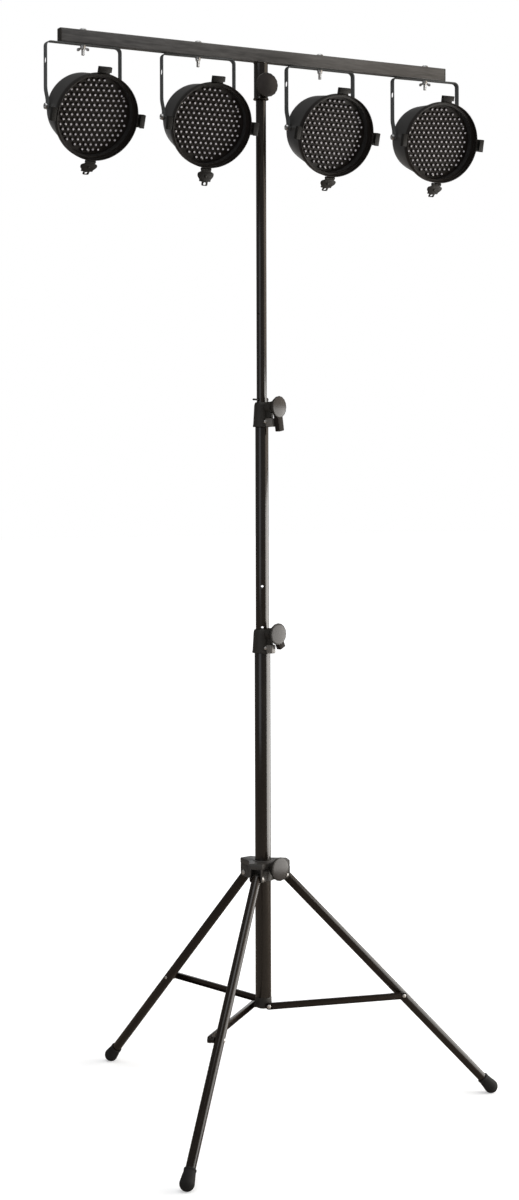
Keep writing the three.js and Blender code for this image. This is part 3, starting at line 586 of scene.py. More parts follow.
def collar(outer, inner, height):
    bore, foot, throat = outer + COLLAR_PLAY, outer + COLLAR_WALL, inner + 2 * GAP
    crown = foot - COLLAR_TAPER
    outside = [(bore, 0), (foot, 0), (foot, 4), (foot - 0.6, 5), (crown, height - 6, 2.5)]
    mouth = [((crown + throat) / 2, height, 1.2), (throat, height)]
    return turned([*outside, *mouth, (throat, COLLAR_SOCKET), (bore, COLLAR_SOCKET)], 0.6, 72)


def collar_lugs(outer):
    """The gusset at the foot, the rib over it, and the boss round the knob's screw."""
    root, tip = outer + LUG_ROOT, GUSSET_REACH - 1
    plan = [(root, -GUSSET_HALF), (tip, -GUSSET_HALF, 6), (tip, GUSSET_HALF, 6), (root, GUSSET_HALF)]
    gusset = pressed(softened(plan, 0.3, steps=8), GUSSET_HEIGHT, (), 2.2)
    side = [(root, 2), (BOSS_REACH - 5, 2), (BOSS_REACH - 2, COLLAR_BOSS), (root, COLLAR_BOSS)]
    rib = pressed(side, RIB_WIDTH, (), 1.5)
    rim = [(BOSS_RADIUS, BOSS_REACH - 4, 1), (BOSS_RIM, BOSS_REACH - 3), (BOSS_RIM, BOSS_REACH)]
    boss = turned(
        [(SCREW_HOLE, root - 1), (BOSS_RADIUS, root - 1), *rim, (SCREW_HOLE, BOSS_REACH)], 0.6, 56
    )
    return gusset, rib, boss


# %% Knob
NECK_SHARE = 2 / 3
GRIPS, GRIP_DEPTH, DOME_INSET = 16, 0.6, 1.9
THUMB_WIDTH, THUMB_DEPTH = 18, 13


def knob_shape(tip, back, depth, radius):
    """A mushroom on a stem along Z, with grips on its rim and a low dome set in its face."""
    face = back + depth
    neck = radius * NECK_SHARE
    dome = radius - DOME_INSET

    def grips(turn, r, z):
        on_rim = r > radius - 2.2 and z < face - 0.6
        return r - GRIP_DEPTH * flute(turn, GRIPS) ** 2 if on_rim else r

    stem = rod(SCREW_RADIUS, tip, back + 2, 0.3, 24)
    flank = [(0, back), (neck, back, 1), (radius - 0.6, face - 6.5, 2), (radius, face - 3, 0.8)]
    rim = [(radius - 0.9, face - 1.9, 0.5), (dome + 0.2, face - 1.9, 0.2)]
    seat = [(dome + 0.2, face - 3.5), (0, face - 3.5)]
    body = turned([*flank, *rim, *seat], 0.6, 144, 4, grips)
    bow = [(dome * share, face - 2.2 * share**2) for share in (1, 0.85, 0.7, 0.55, 0.4, 0.25, 0.12)]
    crown = turned([(0, face - 4), (dome, face - 4), *bow, (0, face)], 0.2, 96, 2)
    return stem, body, crown


def knob_parts(seat, tip, back, depth, radius, tail=None):
    stem, body, crown = knob_shape(tip, back, depth, radius)
    lie = seat @ ALONG_X
    parts = [(crown, lie, knob_nylon), (body, lie, black_nylon), (stem, lie, zinc_plate)]
    if tail:
        length, turn = tail
        thumb = slab(THUMB_WIDTH, length, THUMB_DEPTH, 2, 1.2)
        middle = back + KNOB_DEPTH / 4 + 3
        hanging = seat @ spin(turn, "X") @ move(middle, 0, -length / 2)
        parts.append((thumb, hanging @ spin(math.pi / 2, "Z") @ UPRIGHT, dull_nylon))
    return parts


# %% Both collars with their knobs
RIVET_TURN, RIVET_RISE = math.radians(-25), 12


def clamp(label, body, foot, height, outer, inner, turn, tail, tail_turn):
    """A collar on its tube, and the knob in its boss. Both point the way of turn, in degrees."""
    around = spin(math.radians(turn), "Z")
    base = move(z=foot) @ around
    gusset, rib, boss = collar_lugs(outer)
    rivet_place = base @ spin(RIVET_TURN, "Z") @ move(outer + 4.0, 0, RIVET_RISE) @ ALONG_X
    piece(
        label + "_collar",
        body,
        [
            (collar(outer, inner, height), base, black_nylon),
            (boss, base @ move(z=COLLAR_BOSS) @ ALONG_X, black_nylon),
            # The gusset's pale grey finish is a painted highlight.
            (gusset, base @ move(z=GUSSET_HEIGHT / 2), gusset_nylon_painted_highlight),
            (rib, base @ UPRIGHT, black_nylon),
            (domed_head(4.0, 2.8), rivet_place, bright_rivet),
        ],
    )
    seat = move(z=foot + COLLAR_BOSS) @ around
    thumb_tail = (tail, math.radians(tail_turn))
    parts = knob_parts(seat, inner + GAP, GUSSET_REACH + GAP, KNOB_DEPTH, KNOB_RADIUS, thumb_tail)
    piece(label + "_collar_knob", label + "_clamp", parts)


lower_sizes = (LOWER_COLLAR, COLLAR_HEIGHT - 3, LOWER_TUBE, MIDDLE_TUBE)
upper_sizes = (UPPER_COLLAR, COLLAR_HEIGHT, MIDDLE_TUBE, TOP_TUBE)
clamp("lower", "stand_mast", *lower_sizes, turn=287, tail=37, tail_turn=26)
clamp("upper", "mast_middle", *upper_sizes, turn=293, tail=57, tail_turn=10)

# %% Locking pin over the upper collar
PIN_RADIUS, PIN_TIP, PIN_HEAD, PIN_HEAD_END = 2.2, -32, 5.2, 20


def pin_grips(turn, r, z):
    return r - 0.25 * flute(turn, 20) if r > 5 else r


pin_place = move(z=PIN_HEIGHT) @ spin(TOP_HOLE_TURN + math.pi, "Z") @ ALONG_X
head_foot = TOP_TUBE + GAP
head_line = [(0, head_foot), (PIN_HEAD, head_foot), (PIN_HEAD, 15), (4.4, 16), (PIN_HEAD, 17)]
pin_head = turned([*head_line, (PIN_HEAD, PIN_HEAD_END, 1.5), (0, PIN_HEAD_END)], 0.5, 60, 3, pin_grips)
pin_rod = rod(PIN_RADIUS, PIN_TIP, PIN_HEAD_END - 2, 0.8, 24)
piece("safety_pin", "lock_pin", [(pin_head, pin_place, black_nylon), (pin_rod, pin_place, black_oxide)])
print("collars and knobs made")

# %% [markdown]
# ## The tripod
# The hub is a casting: a thick three-armed deck over a sleeve, with a pair of cheeks under each arm.
# Each leg hangs from a pin between its cheeks. A pressed channel runs from each leg to the cap at
# the mast's foot. The boots are soft, so they stand a little flat on the floor.

# %% Hub
CHEEK_START, CHEEK_REACH, CHEEK_SHEET = 16.5, 9.5, 3.2
WEB_START, WEB_END = 21, 38
HUB_PLAY, HUB_WALL, HUB_BOSS, HUB_BOSS_RIM = 0.5, 6, 10, 10.8
LEG_PIN, LEG_PIN_HOLE = 3.5, 3.8
arm_slot = LEG_RADIUS + 0.8
leg_pivot = (LEG_PIVOT_RADIUS, LEG_PIVOT_HEIGHT)
cheek_foot = [(CHEEK_START, HUB_BOTTOM + 1), (LEG_PIVOT_RADIUS, LEG_PIVOT_HEIGHT - CHEEK_REACH, 1)]
cheek_top = [
    (LEG_PIVOT_RADIUS + CHEEK_REACH, HUB_TOP - 4),
    (LEG_PIVOT_RADIUS + CHEEK_REACH - 3, HUB_TOP - 0.5),
    (CHEEK_START, HUB_TOP - 0.5),
]
cheek_line = softened(cheek_foot, 1, False) + arc(leg_pivot, CHEEK_REACH, -80, 0, 8) + cheek_top
cheek = pressed(cheek_line, CHEEK_SHEET, [arc(leg_pivot, LEG_PIN_HOLE, 0, 345, 23)], 0.6)
deck_corners = []
for turn in LEG_TURNS:
    along, across = Vector((math.cos(turn), math.sin(turn))), Vector((-math.sin(turn), math.cos(turn)))
    for side in (-1, 1):
        deck_corners.append((*(along * (LEG_PIVOT_RADIUS + 9) + across * side * DECK_HALF), 2.5))
    between = turn + math.radians(60)
    deck_corners.append((DECK_WAIST * math.cos(between), DECK_WAIST * math.sin(between), 14))
hub_bore, hub_skin = LOWER_TUBE + HUB_PLAY, LOWER_TUBE + HUB_WALL
deck_bore = arc((0, 0), hub_bore, 0, 355, 71)
deck = pressed(softened(deck_corners, 2, steps=6), DECK_HEIGHT, [deck_bore], 1.6)
web_foot = [(WEB_START, HUB_BOTTOM + 2), (WEB_END, HUB_BOTTOM + 3.5)]
web = pressed([*web_foot, (WEB_END, HUB_TOP - 1), (WEB_START, HUB_TOP - 1)], 2 * arm_slot, (), 0.5)
hub_sleeve_top = DECK_TOP + 1
sleeve_wall = [(hub_skin, HUB_BOTTOM, 1.2), (hub_skin, hub_sleeve_top, 1.2)]
hub_sleeve = turned([(hub_bore, HUB_BOTTOM), *sleeve_wall, (hub_bore, hub_sleeve_top)], 0.6, 72)
boss_foot = hub_bore + 1
boss_rim = [
    (HUB_BOSS, HUB_BOSS_REACH - 4, 1), (HUB_BOSS_RIM, HUB_BOSS_REACH - 3), (HUB_BOSS_RIM, HUB_BOSS_REACH)
]
hub_boss = turned(
    [(SCREW_HOLE, boss_foot), (HUB_BOSS, boss_foot), *boss_rim, (SCREW_HOLE, HUB_BOSS_REACH)], 0.6, 48
)
knob_seat = move(z=HUB_KNOB) @ spin(HUB_KNOB_TURN, "Z")
parts = [
    (hub_sleeve, HERE, cast_paint),
    (deck, move(z=DECK_TOP - DECK_HEIGHT / 2), cast_paint),
    (hub_boss, knob_seat @ ALONG_X, cast_paint),
]
for turn in LEG_TURNS:
    side = spin(turn, "Z")
    for way in (-1, 1):
        parts.append((cheek, side @ move(y=way * (arm_slot + CHEEK_SHEET / 2)) @ UPRIGHT, cast_paint))
    parts.append((web, side @ UPRIGHT, cast_paint))
piece("leg_hub", "tripod_hub", parts)
knob = knob_parts(knob_seat, LOWER_TUBE + GAP, HUB_BOSS_REACH + GAP, HUB_KNOB_DEPTH, HUB_KNOB_RADIUS)
piece("hub_knob", "hub_clamp", knob)

# %% Legs, boots and pins
leg_tube = turned([(0, -leg_end), (LEG_RADIUS, -leg_end), (LEG_RADIUS, -1, 0.5), (9.6, 0)], 0.4, 56)
leg_plug = turned([(0, -3), (10.4, -3), (10.7, 0), (10.2, 4.2, 2), (7.4, 8.3, 3), (0, LEG_RADIUS)], 1.0, 48)
mouth = leg_end - 20
ball_turns = [math.radians(turn) for turn in (15, 30, 45, 60, 75)]
boot_ball = [(BOOT_RADIUS * math.sin(t), -leg_length - BOOT_RADIUS * math.cos(t)) for t in ball_turns]
boot_foot = [(0, -leg_length - BOOT_RADIUS), *boot_ball, (BOOT_RADIUS, -leg_length, 3)]
boot_neck = [(13.4, -mouth - 8, 3), (13.0, -mouth - 5, 0.5), (13.8, -mouth - 4, 0.6), (13.8, -mouth, 1.2)]
boot_socket = [(11.2, -mouth), (11.2, -mouth - 4), (0, -mouth - 4)]
boot = turned([*boot_foot, *boot_neck, *boot_socket], 0.6, 64)
pin_half = arm_slot + CHEEK_SHEET
for index, turn in enumerate(LEG_TURNS):
    number = str(index + 1)
    leg_body = "tripod_leg_" + number
    hang = spin(turn, "Z") @ move(LEG_PIVOT_RADIUS, 0, LEG_PIVOT_HEIGHT) @ spin(-leg_lean, "Y")
    rivet_place = hang @ move(y=LEG_RADIUS - 0.4, z=-strut_on_leg) @ ALONG_Y
    piece(
        "leg_" + number,
        leg_body,
        [
            (leg_tube, hang, leg_coat),
            (leg_plug, hang, black_nylon),
            (domed_head(4.0, 2.2), rivet_place, bright_rivet),
        ],
    )
    piece("foot_boot_" + number, leg_body, [(boot, hang, boot_rubber)], floor=True)
    piece(
        "leg_pin_" + number,
        "tripod_hub",
        [
            (rod(LEG_PIN, -pin_half, pin_half, 0.3, 24), hang @ ALONG_Y, zinc_plate),
            (domed_head(5.5, 2.3), hang @ move(y=pin_half) @ ALONG_Y, bright_rivet),
            (domed_head(5.5, 2.3), hang @ move(y=-pin_half) @ UPRIGHT, bright_rivet),
        ],
    )

# %% Struts
STRUT_BOSS, STRUT_SOLID_END = 7, 13
strut_line = slot_outline(strut_length, STRUT_HALF)
pocket = slot_outline(strut_length, STRUT_HALF - STRUT_SHEET, STRUT_SOLID_END)
strut_web = pressed(strut_line, STRUT_SHEET, (), 0.4)
strut_rim = pressed(strut_line, STRUT_WIDTH, [pocket], 0.4)
strut_outer = -STRUT_OFFSET - STRUT_WIDTH
strut_boss = rod(STRUT_BOSS, -STRUT_OFFSET - 1, -LEG_RADIUS - GAP, 0.4, 32)
strut_rivet = domed_head(4.2, 1.8)
for index, turn in enumerate(LEG_TURNS):
    number = str(index + 1)
    tie = spin(turn, "Z") @ move(STRUT_PIVOT_RADIUS, 0, STRUT_PIVOT_HEIGHT) @ spin(-strut_lean, "Y")
    piece(
        "strut_" + number,
        "tripod_strut_" + number,
        [
            (strut_rim, tie @ move(y=-STRUT_OFFSET - STRUT_WIDTH / 2) @ UPRIGHT, leg_coat),
            (strut_web, tie @ move(y=strut_outer + STRUT_SHEET / 2) @ UPRIGHT, leg_coat),
            (strut_boss, tie @ move(x=strut_length) @ ALONG_Y, leg_coat),
            (strut_rivet, tie @ move(x=strut_length, y=strut_outer + 0.2) @ UPRIGHT, bright_rivet),
        ],
    )

# %% Cap at the mast's foot
CAP_RADIUS, CAP_PLUG_RADIUS, CAP_PLUG_TOP = 19.2, 16, CAP_TOP + 20
cap_foot = [(0, CAP_BOTTOM + 4), (14.6, CAP_BOTTOM + 4, 3), (CAP_RADIUS, CAP_BOTTOM + 9, 3)]
cap_rim = [(CAP_RADIUS, CAP_TOP - 1.8), (LOWER_TUBE, CAP_TOP - GAP), (CAP_PLUG_RADIUS, CAP_TOP - GAP)]
cap = turned([*cap_foot, *cap_rim, (CAP_PLUG_RADIUS, CAP_PLUG_TOP), (0, CAP_PLUG_TOP)], 0.5, 64)
parts = [(cap, HERE, black_nylon)]
outer_face = STRUT_OFFSET + STRUT_WIDTH + GAP
for turn in LEG_TURNS:
    pivot = spin(turn, "Z") @ move(STRUT_PIVOT_RADIUS, 0, STRUT_PIVOT_HEIGHT)
    parts.append((rod(STRUT_BOSS, -STRUT_OFFSET + GAP, 0, 0.4, 32), pivot @ ALONG_Y, black_nylon))
    parts.append((rod(3, -outer_face, 0, 0.2, 24), pivot @ ALONG_Y, zinc_plate))
    parts.append((domed_head(4.6, 1.8), pivot @ move(y=-outer_face) @ UPRIGHT, bright_rivet))
piece("mast_base_cap", "stand_mast", parts)
print("tripod made, leg lean", round(math.degrees(leg_lean), 1))

# %% [markdown]
# ## The cross bar
# A rectangular tube lies across the top of the mast, drilled for one bolt over each lamp and closed
# with nylon caps. A short sleeve is welded under it, with a bead of weld all round, and slips over
# the top tube. Its knob is a little larger than the others.

# %% Bar and end caps
BAR_WALL, BAR_CORNER, BOLT_HOLE, BOLT_DRILL_REACH = 2, 2.4, 4.3, 40
CAP_LIP, CAP_PLUG = 2.5, 14


def bar_section(depth, height, corner):
    y, z = depth / 2, height / 2
    return softened([(-y, -z), (y, -z), (y, z), (-y, z)], corner, steps=5)


bar_middle = BAR_UNDERSIDE + BAR_HEIGHT / 2
across = move(z=bar_middle) @ spin(math.pi / 2, "Z") @ UPRIGHT
bar_skin = bar_section(BAR_DEPTH, BAR_HEIGHT, BAR_CORNER)
bar_bore = bar_section(BAR_DEPTH - 2 * BAR_WALL, BAR_HEIGHT - 2 * BAR_WALL, 0.8)
bar_tube = pressed(bar_skin, BAR_LENGTH, [bar_bore], 0.3)
bolt_drill = rod(BOLT_HOLE, -BOLT_DRILL_REACH, BOLT_DRILL_REACH, 0.01, 24)
bar_tube.transform(across)
bar_tube = drilled(bar_tube, *[(bolt_drill, move(place, 0, bar_middle)) for place in LAMP_PLACES])
piece("t_bar", "cross_bar", [(bar_tube, HERE, bar_coat)])
cap_lip = pressed(bar_skin, CAP_LIP, (), 0.8)
plug_inset = 2 * (BAR_WALL + GAP)
cap_plug = pressed(bar_section(BAR_DEPTH - plug_inset, BAR_HEIGHT - plug_inset, 0.8), CAP_PLUG, (), 0.4)
for side, way in (("left", -1), ("right", 1)):
    face = way * (BAR_LENGTH / 2 + GAP)
    lip_place = move(x=face + way * CAP_LIP / 2) @ across
    plug_place = move(x=face - way * (CAP_PLUG / 2 - 0.1)) @ across
    parts = [(cap_lip, lip_place, black_nylon), (cap_plug, plug_place, black_nylon)]
    piece("bar_end_cap_" + side, "cross_bar", parts)

# %% Sleeve and its knob
SLEEVE_BORE, SLEEVE_RADIUS, SLEEVE_RIM = 12.5, 16.5, 18.2
SLEEVE_BOSS, SLEEVE_BOSS_REACH = 9, 18
SLEEVE_KNOB_RADIUS, SLEEVE_KNOB_DEPTH = 28.5, 16
lower_rim = [(SLEEVE_RIM, SLEEVE_FOOT, 1), (SLEEVE_RIM, SLEEVE_FOOT + 2.6, 1)]
shaft = [(SLEEVE_RADIUS, SLEEVE_FOOT + 5, 1), (SLEEVE_RADIUS, SLEEVE_TOP - 2.4, 0.4)]
weld = [(17.3, SLEEVE_TOP - 1.6, 0.7), (18.0, SLEEVE_TOP)]
sleeve_line = [(SLEEVE_BORE, SLEEVE_FOOT), *lower_rim, *shaft, *weld, (SLEEVE_BORE, SLEEVE_TOP)]
sleeve = turned(sleeve_line, 0.6, 72)
boss_root = SLEEVE_BORE + 0.5
boss_line = [(SCREW_HOLE, boss_root), (SLEEVE_BOSS, boss_root)]
boss_line += [(SLEEVE_BOSS, SLEEVE_BOSS_REACH), (SCREW_HOLE, SLEEVE_BOSS_REACH)]
sleeve_boss = turned(boss_line, 0.6, 40)
facing = move(z=SLEEVE_KNOB) @ spin(-math.pi / 2, "Z")
piece("t_sleeve", "cross_bar", [(sleeve, HERE, mast_coat), (sleeve_boss, facing @ ALONG_X, mast_coat)])
knob_back = SLEEVE_BOSS_REACH + GAP
knob = knob_parts(facing, TOP_TUBE + GAP, knob_back, SLEEVE_KNOB_DEPTH, SLEEVE_KNOB_RADIUS)
piece("sleeve_knob", "sleeve_clamp", knob)
print("cross bar made")

# %% [markdown]
# ## The lamps
# All four lamps are alike, so each part is made once and placed four times. The can is spun from
# sheet steel and tapers to the back. The ring at its mouth holds three hooked clips for a colour
# filter and a sprung latch. The board behind the ring has 151 LEDs in a hexagonal field, and three
# small screws hold it.

# %% Bolt and wing nut
BOLT_RADIUS, BOLT_END, BOLT_HEAD = 4, -25, 8.5
THREAD_CREST, THREAD_ROOT, THREAD_STEP = 3.85, 3.3, 0.75
WING_ROOT, WING_REACH, WING_DROP, WING_SHEET = 4.4, 14, 12.5, 2.4
NUT_BORE, NUT_HEIGHT = 4.2, 8
thread_depth = THREAD_CREST - THREAD_ROOT
thread = [(THREAD_ROOT + thread_depth * (step % 2), BOLT_END + step * THREAD_STEP) for step in range(29)]
head_foot = BAR_HEIGHT + GAP
bolt_head = [
    (BOLT_HEAD, head_foot, 0.5), (8.2, BAR_HEIGHT + 2, 1), (5.6, BAR_HEIGHT + 4, 2), (0, BAR_HEIGHT + 4.8)
]
bolt_line = [(0, BOLT_END), *thread, (BOLT_RADIUS, -3), (BOLT_RADIUS, head_foot), *bolt_head]
bolt = turned(bolt_line, 0.15, 32, 2)
nut_top = -YOKE_SHEET - 2 * GAP
wing_tip = [(WING_REACH, nut_top - 6.2, 2.5), (WING_REACH, nut_top - WING_DROP, 2.5)]
wing_foot = [(8.7, nut_top - WING_DROP, 2), (WING_ROOT, nut_top - NUT_HEIGHT)]
wing_line = softened([(WING_ROOT, nut_top), (6, nut_top - 4.4), *wing_tip, *wing_foot], 0.6, steps=5)
wing = pressed(wing_line, WING_SHEET, (), 0.7)
nut_foot = nut_top - NUT_HEIGHT
nut_hub = turned([(NUT_BORE, nut_top), (6.6, nut_top), (5.4, nut_foot), (NUT_BORE, nut_foot)], 0.5, 32)

# %% Yoke: a flat strip with its corners bent round, and its arms drawn in to the tilt screws
# A slot is pressed through its left arm.
YOKE_BEND, YOKE_EYE, YOKE_EYE_HOLE = 12, 8, 3.2
SLOT_HALF, SLOT_RUN, SLOT_DROP, SLOT_PRESS = 5.3, 3, 44, 30


def yoke_side(half, neck, bend, top):
    """The right half of one face of the strip, from the crown down to the eye."""
    crown = arc((half - bend, top - bend), bend, 90, 0, 10)
    crease = softened(
        [crown[-1], (half, 38 - PIVOT_DROP), (neck, 16 - PIVOT_DROP), (neck, -PIVOT_DROP)], 6, False, 4
    )
    return crown[:-1] + [tuple(point) for point in crease]


outside = yoke_side(YOKE_HALF, YOKE_NECK, YOKE_BEND, -GAP)
inner_half, inner_neck = YOKE_HALF - YOKE_SHEET, YOKE_NECK - YOKE_SHEET
inside = yoke_side(inner_half, inner_neck, YOKE_BEND - YOKE_SHEET, -GAP - YOKE_SHEET)
left_outside = [(-x, z) for x, z in outside[::-1]]
left_inside = [(-x, z) for x, z in inside]
yoke_strip = pressed(left_outside + outside + inside[::-1] + left_inside, YOKE_WIDTH, (), 0.45)
yoke_strip.transform(UPRIGHT)
slot_tool = pressed(slot_outline(SLOT_RUN, SLOT_HALF), SLOT_PRESS, (), 0.01)
slot_place = move(x=-YOKE_HALF, z=-SLOT_DROP + SLOT_RUN / 2) @ spin(math.pi / 2, "Y")
bolt_hole = rod(BOLT_HOLE, -10, 10, 0.01, 24)
yoke_strip = drilled(yoke_strip, (slot_tool, slot_place), (bolt_hole, HERE))
eye_half = YOKE_SHEET / 2
eye_foot = [(YOKE_EYE_HOLE, -eye_half), (YOKE_EYE, -eye_half)]
yoke_eye = turned([*eye_foot, (YOKE_EYE, eye_half), (YOKE_EYE_HOLE, eye_half)], 0.4, 48)
print("yoke", len(yoke_strip.vertices))

# %% Can, tilt screws and cable gland
SHOULDER_ROUND, GLAND_DROP = 9, 34
can_outside = [
    (0, CAN_REAR),
    (CAN_REAR_RADIUS, CAN_REAR, SHOULDER_ROUND),
    (CAN_BACK_RADIUS, CAN_BACK, SHOULDER_ROUND),
    (CAN_FRONT_RADIUS, CAN_FRONT),
]
can_inside = [
    (CAN_FRONT_RADIUS - CAN_SHEET, CAN_FRONT),
    (CAN_BACK_RADIUS - CAN_SHEET, CAN_BACK + 0.6, SHOULDER_ROUND - 1),
    (CAN_REAR_RADIUS - CAN_SHEET, CAN_REAR + CAN_SHEET, SHOULDER_ROUND - 1),
    (0, CAN_REAR + CAN_SHEET),
]
can_shell = turned(can_outside + can_inside, 0.4, 128, 6)


def screw_grips(turn, r, z):
    return r - 0.3 * flute(turn, 20) if r > 6.7 else r


def gland_grips(turn, r, z):
    return r - 0.5 * flute(turn, 12) if -8.6 < z < -3 and r > 7 else r


screw_line = [(0, -8), (3, -8), (3, 0), (7, 0), (7, 4.5, 0.8), (5.8, 6), (3.2, 6), (2.8, 3.5), (0, 3.5)]
tilt_head = turned(screw_line, 0.3, 60, 2, screw_grips)
gland_line = [
    (0, 1), (8, 1), (8, -3), (7.2, -3.4), (7.6, -8.5), (6.4, -11.4), (3.6, -12), (3.2, -9), (0, -9)
]
gland = turned(gland_line, 0.5, 48, 3, gland_grips)

# %% Front ring with its clips
RING_LIP, RING_SEAT = 94.8, 3
CLIP_REACH, CLIP_WIDTH = 15.5, 29.5
back = CAN_FRONT + GAP
front = back + RING_DEPTH
ring_outside = [(RING_BORE, back), (RING_RADIUS, back), (RING_RADIUS, front, 0.9)]
ring_inside = [(RING_LIP, front, 0.9), (RING_LIP, back + RING_SEAT, 1.2), (RING_BORE, back + RING_SEAT)]
ring = turned(ring_outside + ring_inside, 0.5, 144)
clip_root, clip_tip = RING_LIP + 0.5, RING_RADIUS + CLIP_REACH
clip_lip = front + 5
clip_seat = clip_lip - 11
hook_line = [
    (clip_root, clip_seat), (clip_root, clip_seat + 2), (clip_tip - 2, clip_seat + 2, 1),
    (clip_tip - 2, clip_lip - 2, 1), (clip_tip - 12, clip_lip - 2), (clip_tip - 12, clip_lip),
    (clip_tip, clip_lip, 2), (clip_tip, clip_seat, 2),
]
hook = pressed(softened(hook_line, 0.2, steps=4), CLIP_WIDTH, (), 0.35)

# %% Latch with an eye in its tip
LATCH, LATCH_ROOT, LATCH_EAR, LATCH_WAIST, LATCH_TIP = 38, 12.3, 20, 14, 7.5
LATCH_SHEET, LATCH_EYE, KNUCKLE, KNUCKLE_GROOVE = 2.4, 3.2, 3.4, 2.7
rivet_drop = 0.42 * LATCH
latch_side = [
    (LATCH_ROOT, 0),
    (LATCH_ROOT, -0.13 * LATCH, 2),
    (LATCH_EAR, -0.22 * LATCH, 3.5),
    (LATCH_EAR, -rivet_drop, 4),
    (LATCH_WAIST, -0.62 * LATCH, 2),
    (LATCH_WAIST, -0.74 * LATCH, 1),
    (LATCH_TIP, -0.75 * LATCH, 1),
    (LATCH_TIP, -LATCH, 3),
]
latch_line = latch_side + [(-point[0], *point[1:]) for point in reversed(latch_side)]
eye_line = arc((0, -0.87 * LATCH), LATCH_EYE, 0, 345, 23)
latch_plate = pressed(softened(latch_line, 0.5, steps=5), LATCH_SHEET, [eye_line], 0.5)
half_knuckle = [
    (KNUCKLE, 3.8), (KNUCKLE_GROOVE, 4.1), (KNUCKLE, 4.4), (KNUCKLE, LATCH_ROOT), (0, LATCH_ROOT)
]
other_half = [
    (0, -LATCH_ROOT), (KNUCKLE, -LATCH_ROOT), (KNUCKLE, -4.4, 0.4), (KNUCKLE_GROOVE, -4.1), (KNUCKLE, -3.8)
]
latch_knuckle = turned(other_half + half_knuckle, 0.3, 28)

# %% LED board
BOARD_SHEET, BOARD_SCREW_CIRCLE, BOARD_SCREW_TURNS = 1.6, 81, (-92, 28, 148)
led_crown = turned([(0, 6.4), (1.5, 6.0, 1.2), (2.45, 4.6, 1.2), (2.5, 3.0), (0, 3.0)], 0.4, 20, 3)
led_side = turned(
    [(0, 0), (4.9, 0), (4.9, 0.9), (4.1, 1.2), (4.0, 3.0, 0.8), (2.6, 4.2, 0.5), (0, 4.2)], 0.25, 20, 1
)
board_back = BOARD_FACE - BOARD_SHEET
board_edge = [(BOARD_RADIUS, board_back), (BOARD_RADIUS, BOARD_FACE)]
board_plate = turned([(0, board_back), *board_edge, (0, BOARD_FACE)], 0.2, 128, 1)
row_step = LED_PITCH * math.sqrt(3) / 2
led_places = [
    ((column - (count - 1) / 2) * LED_PITCH, (row - (len(LED_ROWS) - 1) / 2) * row_step)
    for row, count in enumerate(LED_ROWS)
    for column in range(count)
]
print("LEDs on a board", len(led_places))

# %% Put the four lamps together
for index, place in enumerate(LAMP_PLACES):
    name = "lamp_" + str(index + 1) + "_"
    hanger = move(place, 0, BAR_UNDERSIDE)
    piece(name + "hanging_bolt", "cross_bar", [(bolt, hanger, zinc_plate)])
    nut = hanger @ spin(WING_TURNS[index], "Z")
    wings = [(wing, nut @ spin(turn, "Z") @ UPRIGHT, zinc_plate) for turn in (0, math.pi)]
    piece(name + "wing_nut", name + "clamp", [(nut_hub, nut, zinc_plate), *wings])
    pan = hanger @ spin(LAMP_PANS[index], "Z")
    pivot = pan @ move(z=-PIVOT_DROP)
    eye_places = [pivot @ move(x=way * (YOKE_NECK - YOKE_SHEET / 2)) @ ALONG_X for way in (-1, 1)]
    eyes = [(yoke_eye, eye_place, yoke_enamel) for eye_place in eye_places]
    piece(name + "yoke", name + "bracket", [(yoke_strip, pan, yoke_enamel), *eyes])
    tilt = pivot @ spin(math.pi / 2 + LAMP_TILTS[index], "X")
    screw_places = [tilt @ spin(turn, "Z") @ move(x=YOKE_NECK + GAP) @ ALONG_X for turn in (0, math.pi)]
    screws = [(tilt_head, screw_place, zinc_plate) for screw_place in screw_places]
    gland_place = tilt @ move(y=-GLAND_DROP, z=CAN_REAR)
    can_parts = [(can_shell, tilt, can_enamel), (gland, gland_place, black_nylon), *screws]
    piece(name + "can", name + "head", can_parts)
    clips = [(hook, tilt @ spin(turn, "Z") @ UPRIGHT, clip_enamel) for turn in (0, math.pi / 2, math.pi)]
    piece(name + "front_ring", name + "head", [(ring, tilt, ring_enamel), *clips])
    board = tilt @ spin(BOARD_TURNS[index], "Z")
    parts = [(board_plate, tilt, board_mask)]
    for x, y in led_places:
        seat = board @ move(x, y, BOARD_FACE - 0.1)
        parts += [(led_side, seat, lens_side), (led_crown, seat, lens_crown)]
    for turn in BOARD_SCREW_TURNS:
        spot = board @ spin(math.radians(turn), "Z") @ move(x=BOARD_SCREW_CIRCLE, z=BOARD_FACE - 0.2)
        parts.append((domed_head(3.4, 2.0), spot, zinc_plate))
    piece(name + "led_board", name + "head", parts)
    hinge_place = tilt @ move(y=-(RING_RADIUS + KNUCKLE + GAP), z=back + RING_DEPTH / 2)
    hinge = hinge_place @ spin(LATCH_LEANS[index], "X")
    piece(
        name + "filter_latch",
        name + "latch",
        [
            (latch_plate, hinge @ move(z=LATCH_SHEET / 2), clip_enamel),
            (latch_knuckle, hinge @ ALONG_X, clip_enamel),
            (domed_head(3.5, 1.6), hinge @ move(y=-rivet_drop, z=LATCH_SHEET), clip_enamel),
        ],
    )
    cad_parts[name + "power_supply"].material_slots[0].material = driver_board
print("pieces", len(made_pieces), "faces", sum(len(made.data.polygons) for made in made_pieces))

# %% [markdown]
# ## The room
# The stand was photographed before a white wall, in a room that is dim on the camera's side. A
# floor, a sky and four soft lights do the same. The sky is white to the camera, mirrors see it
# white behind the stand and dim in front, and for the rest it is weaker, so that colours keep their
# depth. The floor is lifted to white further off, and the stand's soft shadow stays on it. Mirrors
# see the floor darker and warmer, which keeps the legs dark and a little brown. A wide low box on
# the right gives the tubes and knobs their broad bright streak.

